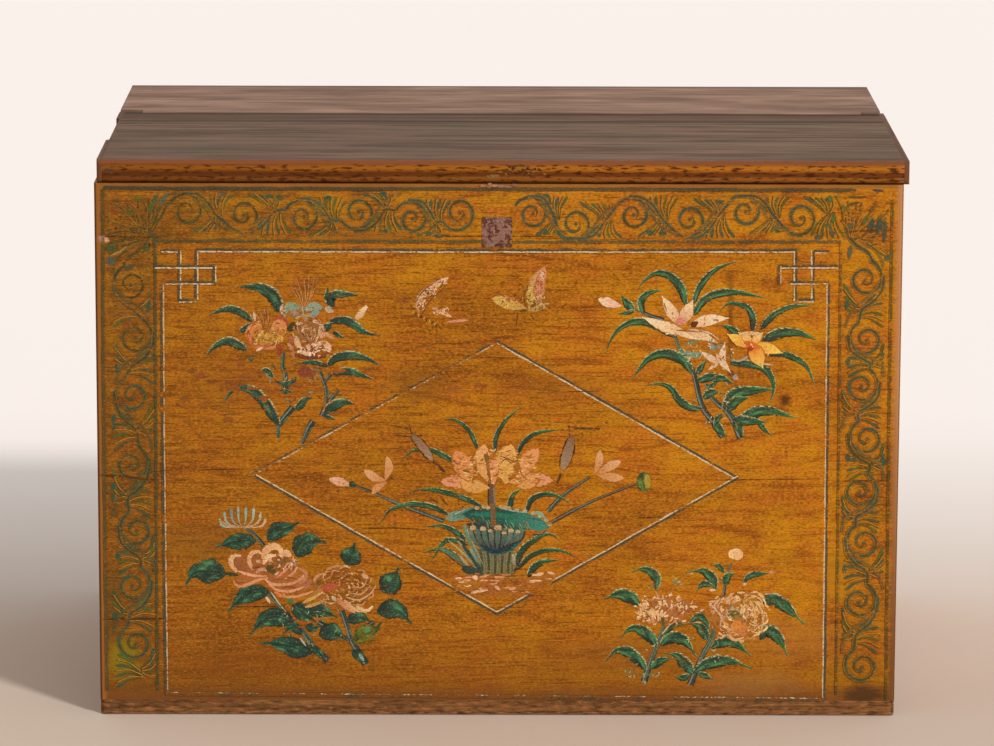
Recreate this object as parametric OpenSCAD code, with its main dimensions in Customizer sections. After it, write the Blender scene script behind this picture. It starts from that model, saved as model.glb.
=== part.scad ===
// Painted storage chest with a fixed rear top board and a front lid on wooden pivots.
// The origin is on the floor, under the middle of the carcass. The front faces -Y.

/* [Carcass] */
// Width of the carcass across the front
body_w = 900; // [760:10:1100]
// Depth of the carcass from front to back
body_d = 600; // [560:10:700]
// Height of the carcass, without the top boards
body_h = 610; // [580:5:700]
// Thickness of the wall planks
wall_t = 20; // [17:0.5:24]
// Thickness of the bottom boards
bottom_t = 18; // [15:0.5:22]
// Rounding of the upright corners at the front
front_corner_r = 4; // [1:0.5:5]
// Rounding of the upright corners at the back
back_corner_r = 2; // [1:0.5:4]
// Rounding of the bottom boards' outer lower edges
bottom_edge_r = 6; // [2:0.5:10]
// Rounding of the bottom boards' corners, seen from above
bottom_corner_r = 9; // [4:0.5:12]

/* [Wall planks] */
// Height of the lowest front plank
front_1_h = 94; // [70:1:110]
// Height of the second front plank
front_2_h = 161; // [140:1:175]
// Height of the top front plank. The third plank, the widest, takes what is left
front_4_h = 59; // [40:1:90]
// Height of the lowest side plank
side_1_h = 188; // [160:1:210]
// Height of the second side plank
side_2_h = 212; // [190:1:230]
// Height of the lowest back plank
back_1_h = 176; // [150:1:200]
// Height of the second back plank
back_2_h = 224; // [200:1:240]
// Width of the front bottom board
bottom_1_d = 214; // [180:1:230]
// Width of the rear bottom board
bottom_3_d = 176; // [150:1:200]
// Overlap of the rebates between bottom boards
rebate_w = 8; // [5:0.5:12]

/* [Dovetails] */
// Least height of wall that one tail and its pin take
tail_pitch = 56; // [45:1:80]
// Share of each pitch that a tail fills at its shoulder
tail_share = 0.46; // [0.38:0.01:0.54]
// Spread of a tail's flank for each millimetre of its length
tail_slope = 0.16; // [0.1:0.01:0.22]
// Wood left in front of the tails of the front corners
front_lap = 6; // [5:0.5:8]
// Gap round a tail, a tenon or a batten in its socket
joint_gap = 0.1; // [0.05:0.05:0.3]

/* [Top boards] */
// Thickness of the lid and of the fixed top board
top_t = 26; // [22:1:30]
// Depth of the lid from its front face to the seam
lid_d = 360; // [300:5:390]
// How far the lid's left end stands out past the carcass, less than 0 where it stands back
lid_out_left = -3; // [-5:0.5:8]
// How far the lid's right end stands out past the carcass
lid_out_right = 6; // [-5:0.5:8]
// Width of the rear plank of the lid
lid_rear_d = 61; // [50:1:90]
// Rounding of the lid's front edges
lid_edge_r = 6; // [2:0.5:8]
// Rounding of the lid's front corners, seen from above
lid_corner_r = 5; // [2:0.5:6]
// Thickness of the strips on the ends of the lid
strip_t = 6; // [4:0.5:8]
// How deep the left strip is worn away behind its front part
strip_wear = 3.5; // [1:0.5:3.5]
// Distance from the lid's front to where the left strip starts to be worn
wear_start = 150; // [100:5:180]
// Length of the worn stretch of the left strip
wear_len = 165; // [100:5:170]
// How far the fixed top board's left end stands out past the carcass, less than 0 where it stands back
rear_top_out_left = -3; // [-5:0.5:8]
// How far the fixed top board's right end stands out past the carcass
rear_top_out_right = 3; // [-5:0.5:8]
// Rounding of the fixed top board's rear edge and corners
rear_top_r = 5; // [2:0.5:8]

/* [Lid pivots] */
// Width of the ears at the rear corners of the lid
ear_w = 20; // [16:1:26]
// Diameter of the pivot pins
pin_d = 10; // [8:0.5:12]
// Length of a pivot pin inside the fixed board
pin_bury = 32; // [20:1:45]
// Radial running gap of a pivot pin in its ear
pin_run_gap = 0.08; // [0.03:0.01:0.1]
// Gap between the lid's rear face and the round edge of the fixed board
seam_gap = 1; // [0.6:0.1:2]
// How much smaller an ear's round end is than half the thickness of the lid
ear_ease = 0.3; // [0.2:0.1:0.6]
// Gap beside and behind an ear in its notch
notch_gap = 0.7; // [0.5:0.1:1.5]

/* [Battens, rail and pegs] */
// Width of a lid batten at its face
batten_w = 42; // [34:1:50]
// Thickness of a lid batten under the lid
batten_t = 16; // [12:1:22]
// Depth of a batten's dovetail in the lid
batten_sunk = 7; // [5:0.5:9]
// How much wider a batten's dovetail is on each side at its top
batten_flare = 2; // [1:0.5:3]
// Distance of each batten's middle from the lid's middle
batten_x = 262; // [200:1:320]
// Gap between a batten and the inside of the front wall
batten_front_gap = 14; // [8:1:30]
// Gap between a batten and the lid's rear face
batten_rear_gap = 12; // [4:1:30]
// Height of the rail under the fixed board's front edge
rail_h = 30; // [24:1:40]
// Width of the rail from front to back
rail_w = 40; // [30:1:50]
// Distance of the rail's front face behind the seam
rail_back = 8; // [4:1:12]
// Length of the rail's tenons
tenon_l = 12; // [8:0.5:14]
// Shoulder round the rail's tenons
tenon_shoulder = 5; // [3:0.5:8]
// Diameter of the hidden pegs
peg_d = 8; // [6:0.5:9]
// Length of the pegs across the seams of the planks
peg_l = 40; // [30:1:50]
// Length of the pegs above and below the walls that enter the boards there
board_peg_l = 12; // [8:0.5:14]
// Diameter of the bamboo nails in the end strips
nail_d = 4; // [3:0.5:5]
// Length of the bamboo nails in the end strips
nail_l = 26; // [18:1:36]
// Radial gap of a peg or nail in its hole
peg_gap = 0.05; // [0.02:0.01:0.1]

/* [Hidden] */
$fn = 48;

paint = "#B0721E";
bare_wood = "#7A5A44";
lid_wood = "#6B5A4C";
peg_wood = "#C9A56B";

// A little more than a cut needs, so that it passes right through
over = 1;

front_y = -body_d / 2;
back_y = body_d / 2;
side_x = body_w / 2;
inner_front_y = front_y + wall_t;
inner_back_y = back_y - wall_t;
inner_x = side_x - wall_t;

front_z = [bottom_t, bottom_t + front_1_h, bottom_t + front_1_h + front_2_h, body_h - front_4_h, body_h];
side_z = [bottom_t, bottom_t + side_1_h, bottom_t + side_1_h + side_2_h, body_h];
back_z = [bottom_t, bottom_t + back_1_h, bottom_t + back_1_h + back_2_h, body_h];
bottom_y = [front_y, front_y + bottom_1_d, back_y - bottom_3_d, back_y];

lid_left = -side_x - lid_out_left;
lid_right = side_x + lid_out_right;
lid_mid_x = (lid_left + lid_right) / 2;
plank_left = lid_left + strip_t;
plank_right = lid_right - strip_t;
seam_y = front_y + lid_d;
lid_joint_y = seam_y - lid_rear_d;
top_z = body_h + top_t;
nose_r = top_t / 2;
pivot_y = seam_y + nose_r + seam_gap;
pivot_z = body_h + nose_r;
ear_r = nose_r - ear_ease;
notch_y = pivot_y + nose_r + notch_gap;
rear_top_left = -side_x - rear_top_out_left;
rear_top_right = side_x + rear_top_out_right;

batten_front_y = inner_front_y + batten_front_gap;
batten_rear_y = seam_y - batten_rear_gap;
rail_front_y = seam_y + rail_back;
rail_back_y = rail_front_y + rail_w;

// Pegs stand at these shares of a wall's inner length
wall_shares = [0.1, 0.37, 0.63, 0.9];
side_shares = [0.18, 0.82];
strip_shares = [0.06, 0.34, 0.62, 0.9];

function along(a, b, share) = a + (b - a) * share;
wall_xs = [for (s = wall_shares) along(-inner_x, inner_x, s)];
side_ys = [for (s = side_shares) along(inner_front_y, inner_back_y, s)];
front_mid_y = front_y + wall_t / 2;
back_mid_y = back_y - wall_t / 2;
side_mid_x = side_x - wall_t / 2;
top_side_ys = [along(rail_back_y, inner_back_y, 0.15), along(rail_back_y, inner_back_y, 0.85)];

front_peg_points = [for (i = [1:3]) for (x = wall_xs) [x, front_mid_y, front_z[i]]];
back_peg_points = [for (i = [1:2]) for (x = wall_xs) [x, back_mid_y, back_z[i]]];
side_peg_points = [for (i = [1:2]) for (x = [-side_mid_x, side_mid_x]) for (y = side_ys) [x, y, side_z[i]]];
bottom_peg_points = concat(
    [for (x = wall_xs) for (y = [front_mid_y, back_mid_y]) [x, y, bottom_t]],
    [for (x = [-side_mid_x, side_mid_x]) for (i = [0:2]) [x, (bottom_y[i] + bottom_y[i + 1]) / 2, bottom_t]]);
top_peg_points = concat(
    [for (x = wall_xs) [x, back_mid_y, body_h]],
    [for (x = [-side_mid_x, side_mid_x]) for (y = top_side_ys) [x, y, body_h]]);
lid_peg_xs = [for (s = wall_shares) along(plank_left, plank_right, s)];
strip_nail_ys = [for (s = strip_shares) along(front_y, seam_y, s)];

// A rectangle from its corners, with a radius for each corner, anticlockwise from the lower left
module rounded(x0, x1, y0, y1, r) {
    corners = [[x0, y0], [x1, y0], [x1, y1], [x0, y1]];
    inward = [[1, 1], [-1, 1], [-1, -1], [1, -1]];
    difference() {
        translate([x0, y0]) square([x1 - x0, y1 - y0]);
        for (i = [0:3]) if (r[i] > 0)
            translate(corners[i] + inward[i] * r[i] / 2) square(r[i], center = true);
    }
    for (i = [0:3]) if (r[i] > 0) translate(corners[i] + inward[i] * r[i]) circle(r = r[i]);
}

module box(x0, x1, y0, y1, z0, z1) {
    translate([x0, y0, z0]) cube([x1 - x0, y1 - y0, z1 - z0]);
}

// Extrudes a profile drawn in Y and Z along X
module along_x(x0, x1) {
    translate([x0, 0, 0]) rotate([90, 0, 90]) linear_extrude(x1 - x0) children();
}

// Extrudes a profile drawn in X and Z along Y
module along_y(y0, y1) {
    translate([0, y1, 0]) rotate([90, 0, 0]) linear_extrude(y1 - y0) children();
}

// The carcass's outline from above, with its eased upright corners
module wall_outline() {
    translate([0, 0, bottom_t]) linear_extrude(body_h - bottom_t)
        rounded(-side_x, side_x, front_y, back_y,
                [front_corner_r, front_corner_r, back_corner_r, back_corner_r]);
}

module upright_pegs(points, below, above, gap = 0) {
    for (p = points) translate([p[0], p[1], p[2] - below]) cylinder(d = peg_d + 2 * gap, h = below + above);
}

module seam_holes(points) {
    upright_pegs(points, peg_l / 2 + peg_gap, peg_l / 2 + peg_gap, peg_gap);
}

// The outline of one tail in Y and Z. It points along +Y from a shoulder at 0
module tail_shape(mid_z, root_w, length, gap) {
    root = root_w / 2 + gap;
    tip = root + (length + gap) * tail_slope;
    polygon([[-over, mid_z - root + over * tail_slope], [length + gap, mid_z - tip],
             [length + gap, mid_z + tip], [-over, mid_z + root - over * tail_slope]]);
}

// All tails of one upright corner, on the side wall at x0 to x1. dir is 1 at the back and -1 at the front
module tails(z, length, dir, x0, x1, gap = 0) {
    for (i = [0 : len(z) - 2]) {
        count = max(2, floor((z[i + 1] - z[i]) / tail_pitch));
        pitch = (z[i + 1] - z[i]) / count;
        for (k = [0 : count - 1])
            along_x(x0, x1) mirror([dir < 0 ? 1 : 0, 0])
                tail_shape(z[i] + (k + 0.5) * pitch, pitch * tail_share, length, gap);
    }
}

module front_tails(x0, x1, z, gap = 0) {
    translate([0, inner_front_y, 0]) tails(z, wall_t - front_lap, -1, x0, x1, gap);
}

module back_tails(x0, x1, z, gap = 0) {
    translate([0, inner_back_y, 0]) tails(z, wall_t, 1, x0, x1, gap);
}

module front_plank(i) {
    color(paint) difference() {
        intersection() {
            box(-side_x, side_x, front_y, inner_front_y, front_z[i], front_z[i + 1]);
            wall_outline();
        }
        for (s = [-1, 1])
            front_tails(min(s * (inner_x - joint_gap), s * (side_x + over)),
                        max(s * (inner_x - joint_gap), s * (side_x + over)), side_z, joint_gap);
        seam_holes(front_peg_points);
        board_peg_holes();
    }
}

module back_plank(i) {
    color(paint) difference() {
        intersection() {
            box(-side_x, side_x, inner_back_y, back_y, back_z[i], back_z[i + 1]);
            wall_outline();
        }
        for (s = [-1, 1])
            back_tails(min(s * (inner_x - joint_gap), s * (side_x + over)),
                       max(s * (inner_x - joint_gap), s * (side_x + over)), side_z, joint_gap);
        seam_holes(back_peg_points);
        board_peg_holes();
    }
}

// A side plank with tails at both ends. side is -1 for the left wall and 1 for the right wall
module side_plank(i, side) {
    x0 = side < 0 ? -side_x : inner_x;
    z = [side_z[i], side_z[i + 1]];
    color(paint) difference() {
        intersection() {
            union() {
                box(x0, x0 + wall_t, inner_front_y, inner_back_y, z[0], z[1]);
                front_tails(x0, x0 + wall_t, z);
                back_tails(x0, x0 + wall_t, z);
            }
            wall_outline();
        }
        seam_holes(side_peg_points);
        board_peg_holes();
        rail_tenon(side, joint_gap);
    }
}

// The carcass's outline at the floor, shared by the bottom boards
module bottom_outline() {
    r = bottom_corner_r;
    linear_extrude(bottom_t) rounded(-side_x, side_x, front_y, back_y, [r, r, r, r]);
}

// A bottom board between two edges. Its rear rebate lies under the next board's front rebate
module bottom_board(i) {
    y0 = bottom_y[i];
    y1 = bottom_y[i + 1];
    half_t = bottom_t / 2;
    front_r = i == 0 ? bottom_edge_r : 0;
    rear_r = i == 2 ? bottom_edge_r : 0;
    color(bare_wood) difference() {
        intersection() {
            along_x(-side_x, side_x) union() {
                rounded(y0, y1, 0, bottom_t, [front_r, rear_r, 0, 0]);
                if (i < 2) translate([y1, 0]) square([rebate_w, half_t]);
            }
            bottom_outline();
        }
        if (i > 0)
            box(-side_x - over, side_x + over, y0 - over, y0 + rebate_w + joint_gap, -over, half_t);
        board_peg_holes();
    }
}

// The holes of the pegs that tie the boards above and below to the walls
module board_peg_holes() {
    upright_pegs(bottom_peg_points, board_peg_l + peg_gap, peg_l / 2 + peg_gap, peg_gap);
    upright_pegs(top_peg_points, peg_l / 2 + peg_gap, board_peg_l + peg_gap, peg_gap);
}

// A tenon of the rail, on the side given by -1 or 1
module rail_tenon(side, gap = 0) {
    x1 = inner_x + tenon_l + gap;
    box(side < 0 ? -x1 : inner_x - over, side < 0 ? -inner_x + over : x1,
        rail_front_y + tenon_shoulder - gap, rail_back_y - tenon_shoulder + gap,
        body_h - rail_h + tenon_shoulder - gap, body_h - tenon_shoulder + gap);
}

module seam_rail() {
    color(bare_wood) {
        box(-inner_x, inner_x, rail_front_y, rail_back_y, body_h - rail_h, body_h);
        rail_tenon(-1);
        rail_tenon(1);
    }
}

// The hole or the pin along a pivot axis, between two places
module pivot_rod(x0, x1, r) {
    translate([x0, pivot_y, pivot_z]) rotate([0, 90, 0]) cylinder(r = r, h = x1 - x0);
}

module rear_top_board() {
    left_notch = plank_left + ear_w + notch_gap;
    right_notch = plank_right - ear_w - notch_gap;
    color(bare_wood) difference() {
        intersection() {
            along_x(rear_top_left, rear_top_right) union() {
                rounded(pivot_y, back_y, body_h, top_z, [0, 0, rear_top_r, 0]);
                translate([pivot_y, pivot_z]) circle(r = nose_r);
            }
            translate([0, 0, body_h]) linear_extrude(top_t)
                rounded(rear_top_left, rear_top_right, seam_y, back_y, [0, 0, rear_top_r, rear_top_r]);
        }
        box(rear_top_left - over, left_notch, seam_y, notch_y, body_h - over, top_z + over);
        box(right_notch, rear_top_right + over, seam_y, notch_y, body_h - over, top_z + over);
        pivot_rod(left_notch - over, left_notch + pin_bury + peg_gap, pin_d / 2 + peg_gap);
        pivot_rod(right_notch - pin_bury - peg_gap, right_notch + over, pin_d / 2 + peg_gap);
        board_peg_holes();
    }
}

module pivot_pin_left() {
    color(peg_wood) pivot_rod(plank_left + notch_gap, plank_left + ear_w + notch_gap + pin_bury, pin_d / 2);
}

module pivot_pin_right() {
    color(peg_wood) pivot_rod(plank_right - ear_w - notch_gap - pin_bury, plank_right - notch_gap, pin_d / 2);
}

// The lid's section in Y and Z from its front face to y1, with eased front edges
module lid_section(y1) {
    rounded(front_y, y1, body_h, top_z, [lid_edge_r, 0, 0, lid_edge_r]);
}

// The round-ended section of an ear, which turns about the pivot
module ear_section() {
    translate([seam_y - over, pivot_z - ear_r]) square([pivot_y - seam_y + over, 2 * ear_r]);
    translate([pivot_y, pivot_z]) circle(r = ear_r);
}

module batten(side, gap = 0) {
    mid = lid_mid_x + side * batten_x;
    half = batten_w / 2 + gap;
    color(lid_wood) {
        along_y(batten_front_y - gap, batten_rear_y + gap)
            polygon([[mid - half + batten_flare, body_h - over], [mid + half - batten_flare, body_h - over],
                     [mid + half - batten_flare, body_h], [mid + half, body_h + batten_sunk + gap],
                     [mid - half, body_h + batten_sunk + gap], [mid - half + batten_flare, body_h]]);
        along_y(batten_front_y - gap, batten_rear_y + gap)
            rounded(mid - batten_w / 2, mid + batten_w / 2, body_h - batten_t, body_h,
                    [batten_flare, batten_flare, 0, 0]);
    }
}

module lid_peg_holes(gap = 0) {
    for (x = lid_peg_xs) translate([x, lid_joint_y - peg_l / 2 - gap, pivot_z])
        rotate([-90, 0, 0]) cylinder(d = peg_d + 2 * gap, h = peg_l + 2 * gap);
}

module lid_plank_front() {
    color(lid_wood) difference() {
        along_x(plank_left, plank_right) lid_section(lid_joint_y);
        for (s = [-1, 1]) batten(s, joint_gap);
        lid_peg_holes(peg_gap);
        strip_nail_holes(peg_gap);
    }
}

module lid_plank_rear() {
    color(lid_wood) difference() {
        union() {
            box(plank_left, plank_right, lid_joint_y, seam_y, body_h, top_z);
            along_x(plank_left, plank_left + ear_w) ear_section();
            along_x(plank_right - ear_w, plank_right) ear_section();
        }
        for (s = [-1, 1]) batten(s, joint_gap);
        lid_peg_holes(peg_gap);
        strip_nail_holes(peg_gap);
        pivot_rod(plank_left - over, plank_left + ear_w + over, pin_d / 2 + pin_run_gap);
        pivot_rod(plank_right - ear_w - over, plank_right + over, pin_d / 2 + pin_run_gap);
    }
}

// The lid's outline from above, with rounded front corners
module lid_outline() {
    translate([0, 0, body_h - over]) linear_extrude(top_t + 2 * over)
        rounded(lid_left, lid_right, front_y, pivot_y + nose_r, [lid_corner_r, lid_corner_r, 0, 0]);
}

module strip_nail_holes(gap = 0) {
    for (y = strip_nail_ys) {
        translate([lid_left, y, pivot_z]) rotate([0, 90, 0]) cylinder(d = nail_d + 2 * gap, h = nail_l + gap);
        translate([lid_right, y, pivot_z]) rotate([0, -90, 0]) cylinder(d = nail_d + 2 * gap, h = nail_l + gap);
    }
}

module end_strip(x0) {
    intersection() {
        along_x(x0, x0 + strip_t) {
            lid_section(seam_y);
            ear_section();
        }
        lid_outline();
    }
}

module lid_strip_right() {
    color(lid_wood) difference() {
        end_strip(plank_right);
        strip_nail_holes(peg_gap);
    }
}

// The left strip is worn thin behind its front part
module lid_strip_left() {
    worn_y = front_y + wear_start;
    color(lid_wood) difference() {
        end_strip(lid_left);
        strip_nail_holes(peg_gap);
        translate([0, 0, body_h - over]) linear_extrude(top_t + 2 * over)
            rounded(lid_left - strip_wear, lid_left + strip_wear, worn_y, worn_y + wear_len,
                    [0, strip_wear, strip_wear, 0]);
    }
}

module wall_pegs() {
    color(peg_wood)
        upright_pegs(concat(front_peg_points, back_peg_points, side_peg_points), peg_l / 2, peg_l / 2);
}

module bottom_pegs() {
    color(peg_wood) upright_pegs(bottom_peg_points, board_peg_l, peg_l / 2);
}

module top_board_pegs() {
    color(peg_wood) upright_pegs(top_peg_points, peg_l / 2, board_peg_l);
}

module lid_pegs() {
    color(peg_wood) lid_peg_holes();
}

// The nails in the worn stretch of the left strip are cut off flush with it
module strip_nails() {
    color(peg_wood) intersection() {
        strip_nail_holes();
        union() {
            box(lid_left + strip_wear, lid_right, front_y, seam_y, body_h, top_z);
            box(lid_left, lid_mid_x, front_y, front_y + wear_start, body_h, top_z);
            box(lid_left, lid_mid_x, front_y + wear_start + wear_len, seam_y, body_h, top_z);
        }
    }
}

bottom_board(0);  // bottom_board_front
bottom_board(1);  // bottom_board_middle
bottom_board(2);  // bottom_board_rear
front_plank(0);  // front_plank_1
front_plank(1);  // front_plank_2
front_plank(2);  // front_plank_3
front_plank(3);  // front_plank_4
back_plank(0);  // back_plank_1
back_plank(1);  // back_plank_2
back_plank(2);  // back_plank_3
side_plank(0, -1);  // left_plank_1
side_plank(1, -1);  // left_plank_2
side_plank(2, -1);  // left_plank_3
side_plank(0, 1);  // right_plank_1
side_plank(1, 1);  // right_plank_2
side_plank(2, 1);  // right_plank_3
seam_rail();
rear_top_board();
lid_plank_front();
lid_plank_rear();
batten(-1);  // lid_batten_left
batten(1);  // lid_batten_right
lid_strip_left();
lid_strip_right();
pivot_pin_left();
pivot_pin_right();
wall_pegs();
bottom_pegs();
top_board_pegs();
lid_pegs();
strip_nails();
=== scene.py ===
"""Painted pine chest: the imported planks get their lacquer, bare wood and wear, and thin strokes of
paint make the flowers, butterflies, diamond and scroll border on the front."""

import random
from math import cos, hypot, pi, sin, sqrt, tau

import bmesh
import bpy
from mathutils import Matrix, Vector


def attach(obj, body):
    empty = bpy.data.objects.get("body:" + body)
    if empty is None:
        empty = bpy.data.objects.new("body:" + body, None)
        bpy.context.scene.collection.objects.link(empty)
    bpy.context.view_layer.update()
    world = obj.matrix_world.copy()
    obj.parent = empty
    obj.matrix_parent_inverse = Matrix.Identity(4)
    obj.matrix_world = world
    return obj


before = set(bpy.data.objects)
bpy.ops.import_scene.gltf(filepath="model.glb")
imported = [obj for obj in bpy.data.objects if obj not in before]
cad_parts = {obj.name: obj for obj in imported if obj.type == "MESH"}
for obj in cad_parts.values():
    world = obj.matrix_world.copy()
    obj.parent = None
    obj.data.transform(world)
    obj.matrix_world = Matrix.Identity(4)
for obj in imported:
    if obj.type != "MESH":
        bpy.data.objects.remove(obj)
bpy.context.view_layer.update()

# The camera of the picture, in metres and radians, and its focal length in pixels
IMAGE_W, IMAGE_H = 994, 746
FOCAL_PX = 5000
SENSOR_MM = 36
CAMERA_AT = Vector((-.0236, -5.785, 1.491))
CAMERA_YAW, CAMERA_PITCH, CAMERA_ROLL = -.004, .197, .003
CAMERA_TURN = (Matrix.Rotation(CAMERA_YAW, 3, "Z") @ Matrix.Rotation(pi / 2 - CAMERA_PITCH, 3, "X")
               @ Matrix.Rotation(CAMERA_ROLL, 3, "Z"))

# Faces of the chest that carry paint, each as a point and the way it faces
FRONT = Vector((0, -.3, 0)), Vector((0, -1, 0))
LID_FRONT = Vector((0, -.3, .61)), Vector((0, -1, 0))
PIXEL = .00113            # one pixel of the picture on the front, in metres
PAINT_STAND = .00004      # the lowest stroke stands this far off the wood
STROKE_STEP = .000004     # a stroke that crosses others lies this much higher than the highest of them
SQUARE = 4                # strokes are looked up by squares of this many pixels
FRONT_FACE, SIDE_FACE = -.2935, .4435       # lacquer covers what lies beyond these planes
RELIEF = .0003            # depth of grain and pits
GLOSS = .12               # specular level of old wood, lacquer and paint, which shine little
GOLDEN_TURN = 2.39996     # radians between one touch round a flower's heart and the next

# Patterns in the lacquer: how many times longer than high, height in metres, detail and roughness
LACQUER_PATTERNS = (
    (24, .0022, 2, .65),      # fibres
    (9, .007, 3, .6),         # bands
    (2, .0034, 2, .6),        # marks
    (2, .009, 3, .65),        # dabs
    (2, .03, 3, .6),          # tones
    (2, .11, 3, .55),         # clouds
    (2.4, .0015, 1, .5),      # grit
    (5, .05, 2, .5))          # the sway of the growth rings

# Stains and rubbed places on the front: middle and half size in pixels, colour and strength
BLOTS = (
    ((730, 277), (9, 9), "#5f3508", .5), ((730.5, 318), (4, 48), "#5a3208", .6),
    ((836, 573), (19, 36), "#b8800c", .6), ((122, 658), (20, 26), "#8c8014", .55),
    ((101.5, 239.5), (8, 4.5), "#dca888", 1), ((864, 695), (26, 15), "#4a3018", .85),
    ((375, 238), (50, 8), "#86501a", .45), ((690, 706), (140, 7), "#6c4628", .3),
    ((785, 400), (8, 6), "#45260c", .85), ((420, 384), (40, 22), "#7a4616", .45),
    ((240, 664), (66, 22), "#844812", .4), ((650, 654), (95, 24), "#84501c", .35),
    ((205, 542), (60, 26), "#6c4a1c", .35), ((112, 604), (14, 50), "#4c3e18", .45),
    ((255, 384), (70, 30), "#8a4c1c", .3), ((550, 385), (70, 20), "#8c5018", .3),
    ((750, 684), (62, 18), "#94683a", .4), ((790, 640), (60, 30), "#b0722c", .4))


# Colours and nodes
def hue(code):
    """A colour written as sRGB hex, as the linear numbers that Blender works in."""
    parts = [int(code[k:k + 2], 16) / 255 for k in (1, 3, 5)]
    return [p / 12.92 if p <= .04045 else ((p + .055) / 1.055) ** 2.4 for p in parts] + [1]


def add(tree, kind, inputs, out=0, **settings):
    """Adds one node with its settings, fills inputs with values or links, and returns an output."""
    node = tree.nodes.new("ShaderNode" + kind)
    for key, value in settings.items():
        setattr(node, key, value)
    for key, value in inputs.items():
        if isinstance(value, bpy.types.NodeSocket):
            tree.links.new(value, node.inputs[key])
        else:
            node.inputs[key].default_value = value
    return node.outputs[out]


COLOUR = {"out": 2, "data_type": "RGBA"}      # a Mix node that mixes colours


def new_material(name):
    """An empty node material and its tree."""
    material = bpy.data.materials.new(name)
    material.use_nodes = True
    material.node_tree.nodes.clear()
    return material, material.node_tree


def layered(tree, colour, layers):
    """Lays tones over a colour. A layer is a pattern, the value at which it starts and the one at which
    it is full, its greatest share, its tone, and masks that hold it back where there are any."""
    for pattern, start, full, share, tone, *masks in layers:
        spread = add(tree, "MapRange", {0: pattern, 1: start, 2: full, 4: share})
        for mask in masks:
            spread = add(tree, "Math", {0: spread, 1: mask}, operation="MULTIPLY")
        tone = hue(tone) if isinstance(tone, str) else tone
        colour = add(tree, "Mix", {0: spread, 6: colour, 7: tone}, **COLOUR)
    return colour


def finish_material(tree, colour, roughness, height, relief):
    """Ends a material: its surface takes a colour, a roughness and a height that is relief metres deep."""
    bump = add(tree, "Bump", {"Strength": 1, "Distance": relief, "Height": height})
    shader = add(tree, "BsdfPrincipled", {"Base Color": colour, "Roughness": roughness, "Normal": bump,
                                          "IOR": 1.5, "Specular IOR Level": GLOSS})
    tree.links.new(shader, tree.nodes.new("ShaderNodeOutputMaterial").inputs["Surface"])


def seen_on(face, px, py):
    """The point of a flat face that shows at a pixel of the picture."""
    at, facing = face
    ray = CAMERA_TURN @ Vector((px - IMAGE_W / 2, IMAGE_H / 2 - py, -FOCAL_PX))
    return CAMERA_AT + ray * ((at - CAMERA_AT).dot(facing) / ray.dot(facing))


def new_piece(name, shape, materials):
    """Turns a finished bmesh into an object of the scene."""
    mesh = bpy.data.meshes.new(name)
    shape.to_mesh(mesh)
    shape.free()
    for material in materials:
        mesh.materials.append(material)
    piece = bpy.data.objects.new(name, mesh)
    bpy.context.scene.collection.objects.link(piece)
    return piece


# Wood and lacquer patterns
def wood_places(tree):
    """Object coordinates, and x and y run together so that grain turns the corners of the chest."""
    place = add(tree, "TexCoord", {}, "Object")
    split = add(tree, "SeparateXYZ", {"Vector": place}).node.outputs
    run = add(tree, "Math", {0: split[0], 1: split[1]}, operation="ADD")
    return split[0], split[1], split[2], run


def stretched(tree, run, side, rise, length):
    """Coordinates whose patterns come out a number of times longer along the grain than across."""
    short = add(tree, "Math", {0: run, 1: 1 / length}, operation="MULTIPLY")
    return add(tree, "CombineXYZ", {"X": short, "Y": side, "Z": rise})


def cut_across(tree, grain):
    """1 on the ends of a board whose grain runs along x (0) or y (1), and 0 on its faces and edges."""
    facing = add(tree, "SeparateXYZ", {"Vector": add(tree, "TexCoord", {}, "Normal")}).node.outputs
    steep = add(tree, "Math", {0: facing[grain]}, operation="ABSOLUTE")
    return add(tree, "Math", {0: steep, 1: .6}, operation="GREATER_THAN")


def end_grain(tree, colour, dark, grain):
    """Darkens the ends of a board and draws its growth rings and pores there."""
    x, y, z, run = wood_places(tree)
    bow = add(tree, "Math", {0: (y, x)[grain], 1: (y, x)[grain]}, operation="MULTIPLY")
    rise = add(tree, "Math", {0: bow, 1: 3, 2: z}, operation="MULTIPLY_ADD")
    # rings 2.4 mm apart and pores of 1.6 mm
    rings = add(tree, "Math", {0: rise, 1: 1 / .0024}, operation="MULTIPLY")
    rings = add(tree, "Math", {0: rings, 1: 1}, operation="PINGPONG")
    place = add(tree, "TexCoord", {}, "Object")
    pores = add(tree, "TexNoise", {"Vector": place, "Scale": 1 / .0016, "Detail": 2})
    ringed = add(tree, "MapRange", {0: rings, 1: .35, 2: .9, 3: .25, 4: .7})
    pitted = add(tree, "MapRange", {0: pores, 1: .4, 2: .65, 4: .5})
    deep = add(tree, "Math", {0: ringed, 1: pitted}, operation="ADD")
    deep = add(tree, "Math", {0: deep, 1: cut_across(tree, grain)}, operation="MULTIPLY")
    return add(tree, "Mix", {0: deep, 6: colour, 7: hue(dark)}, **COLOUR)


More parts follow.
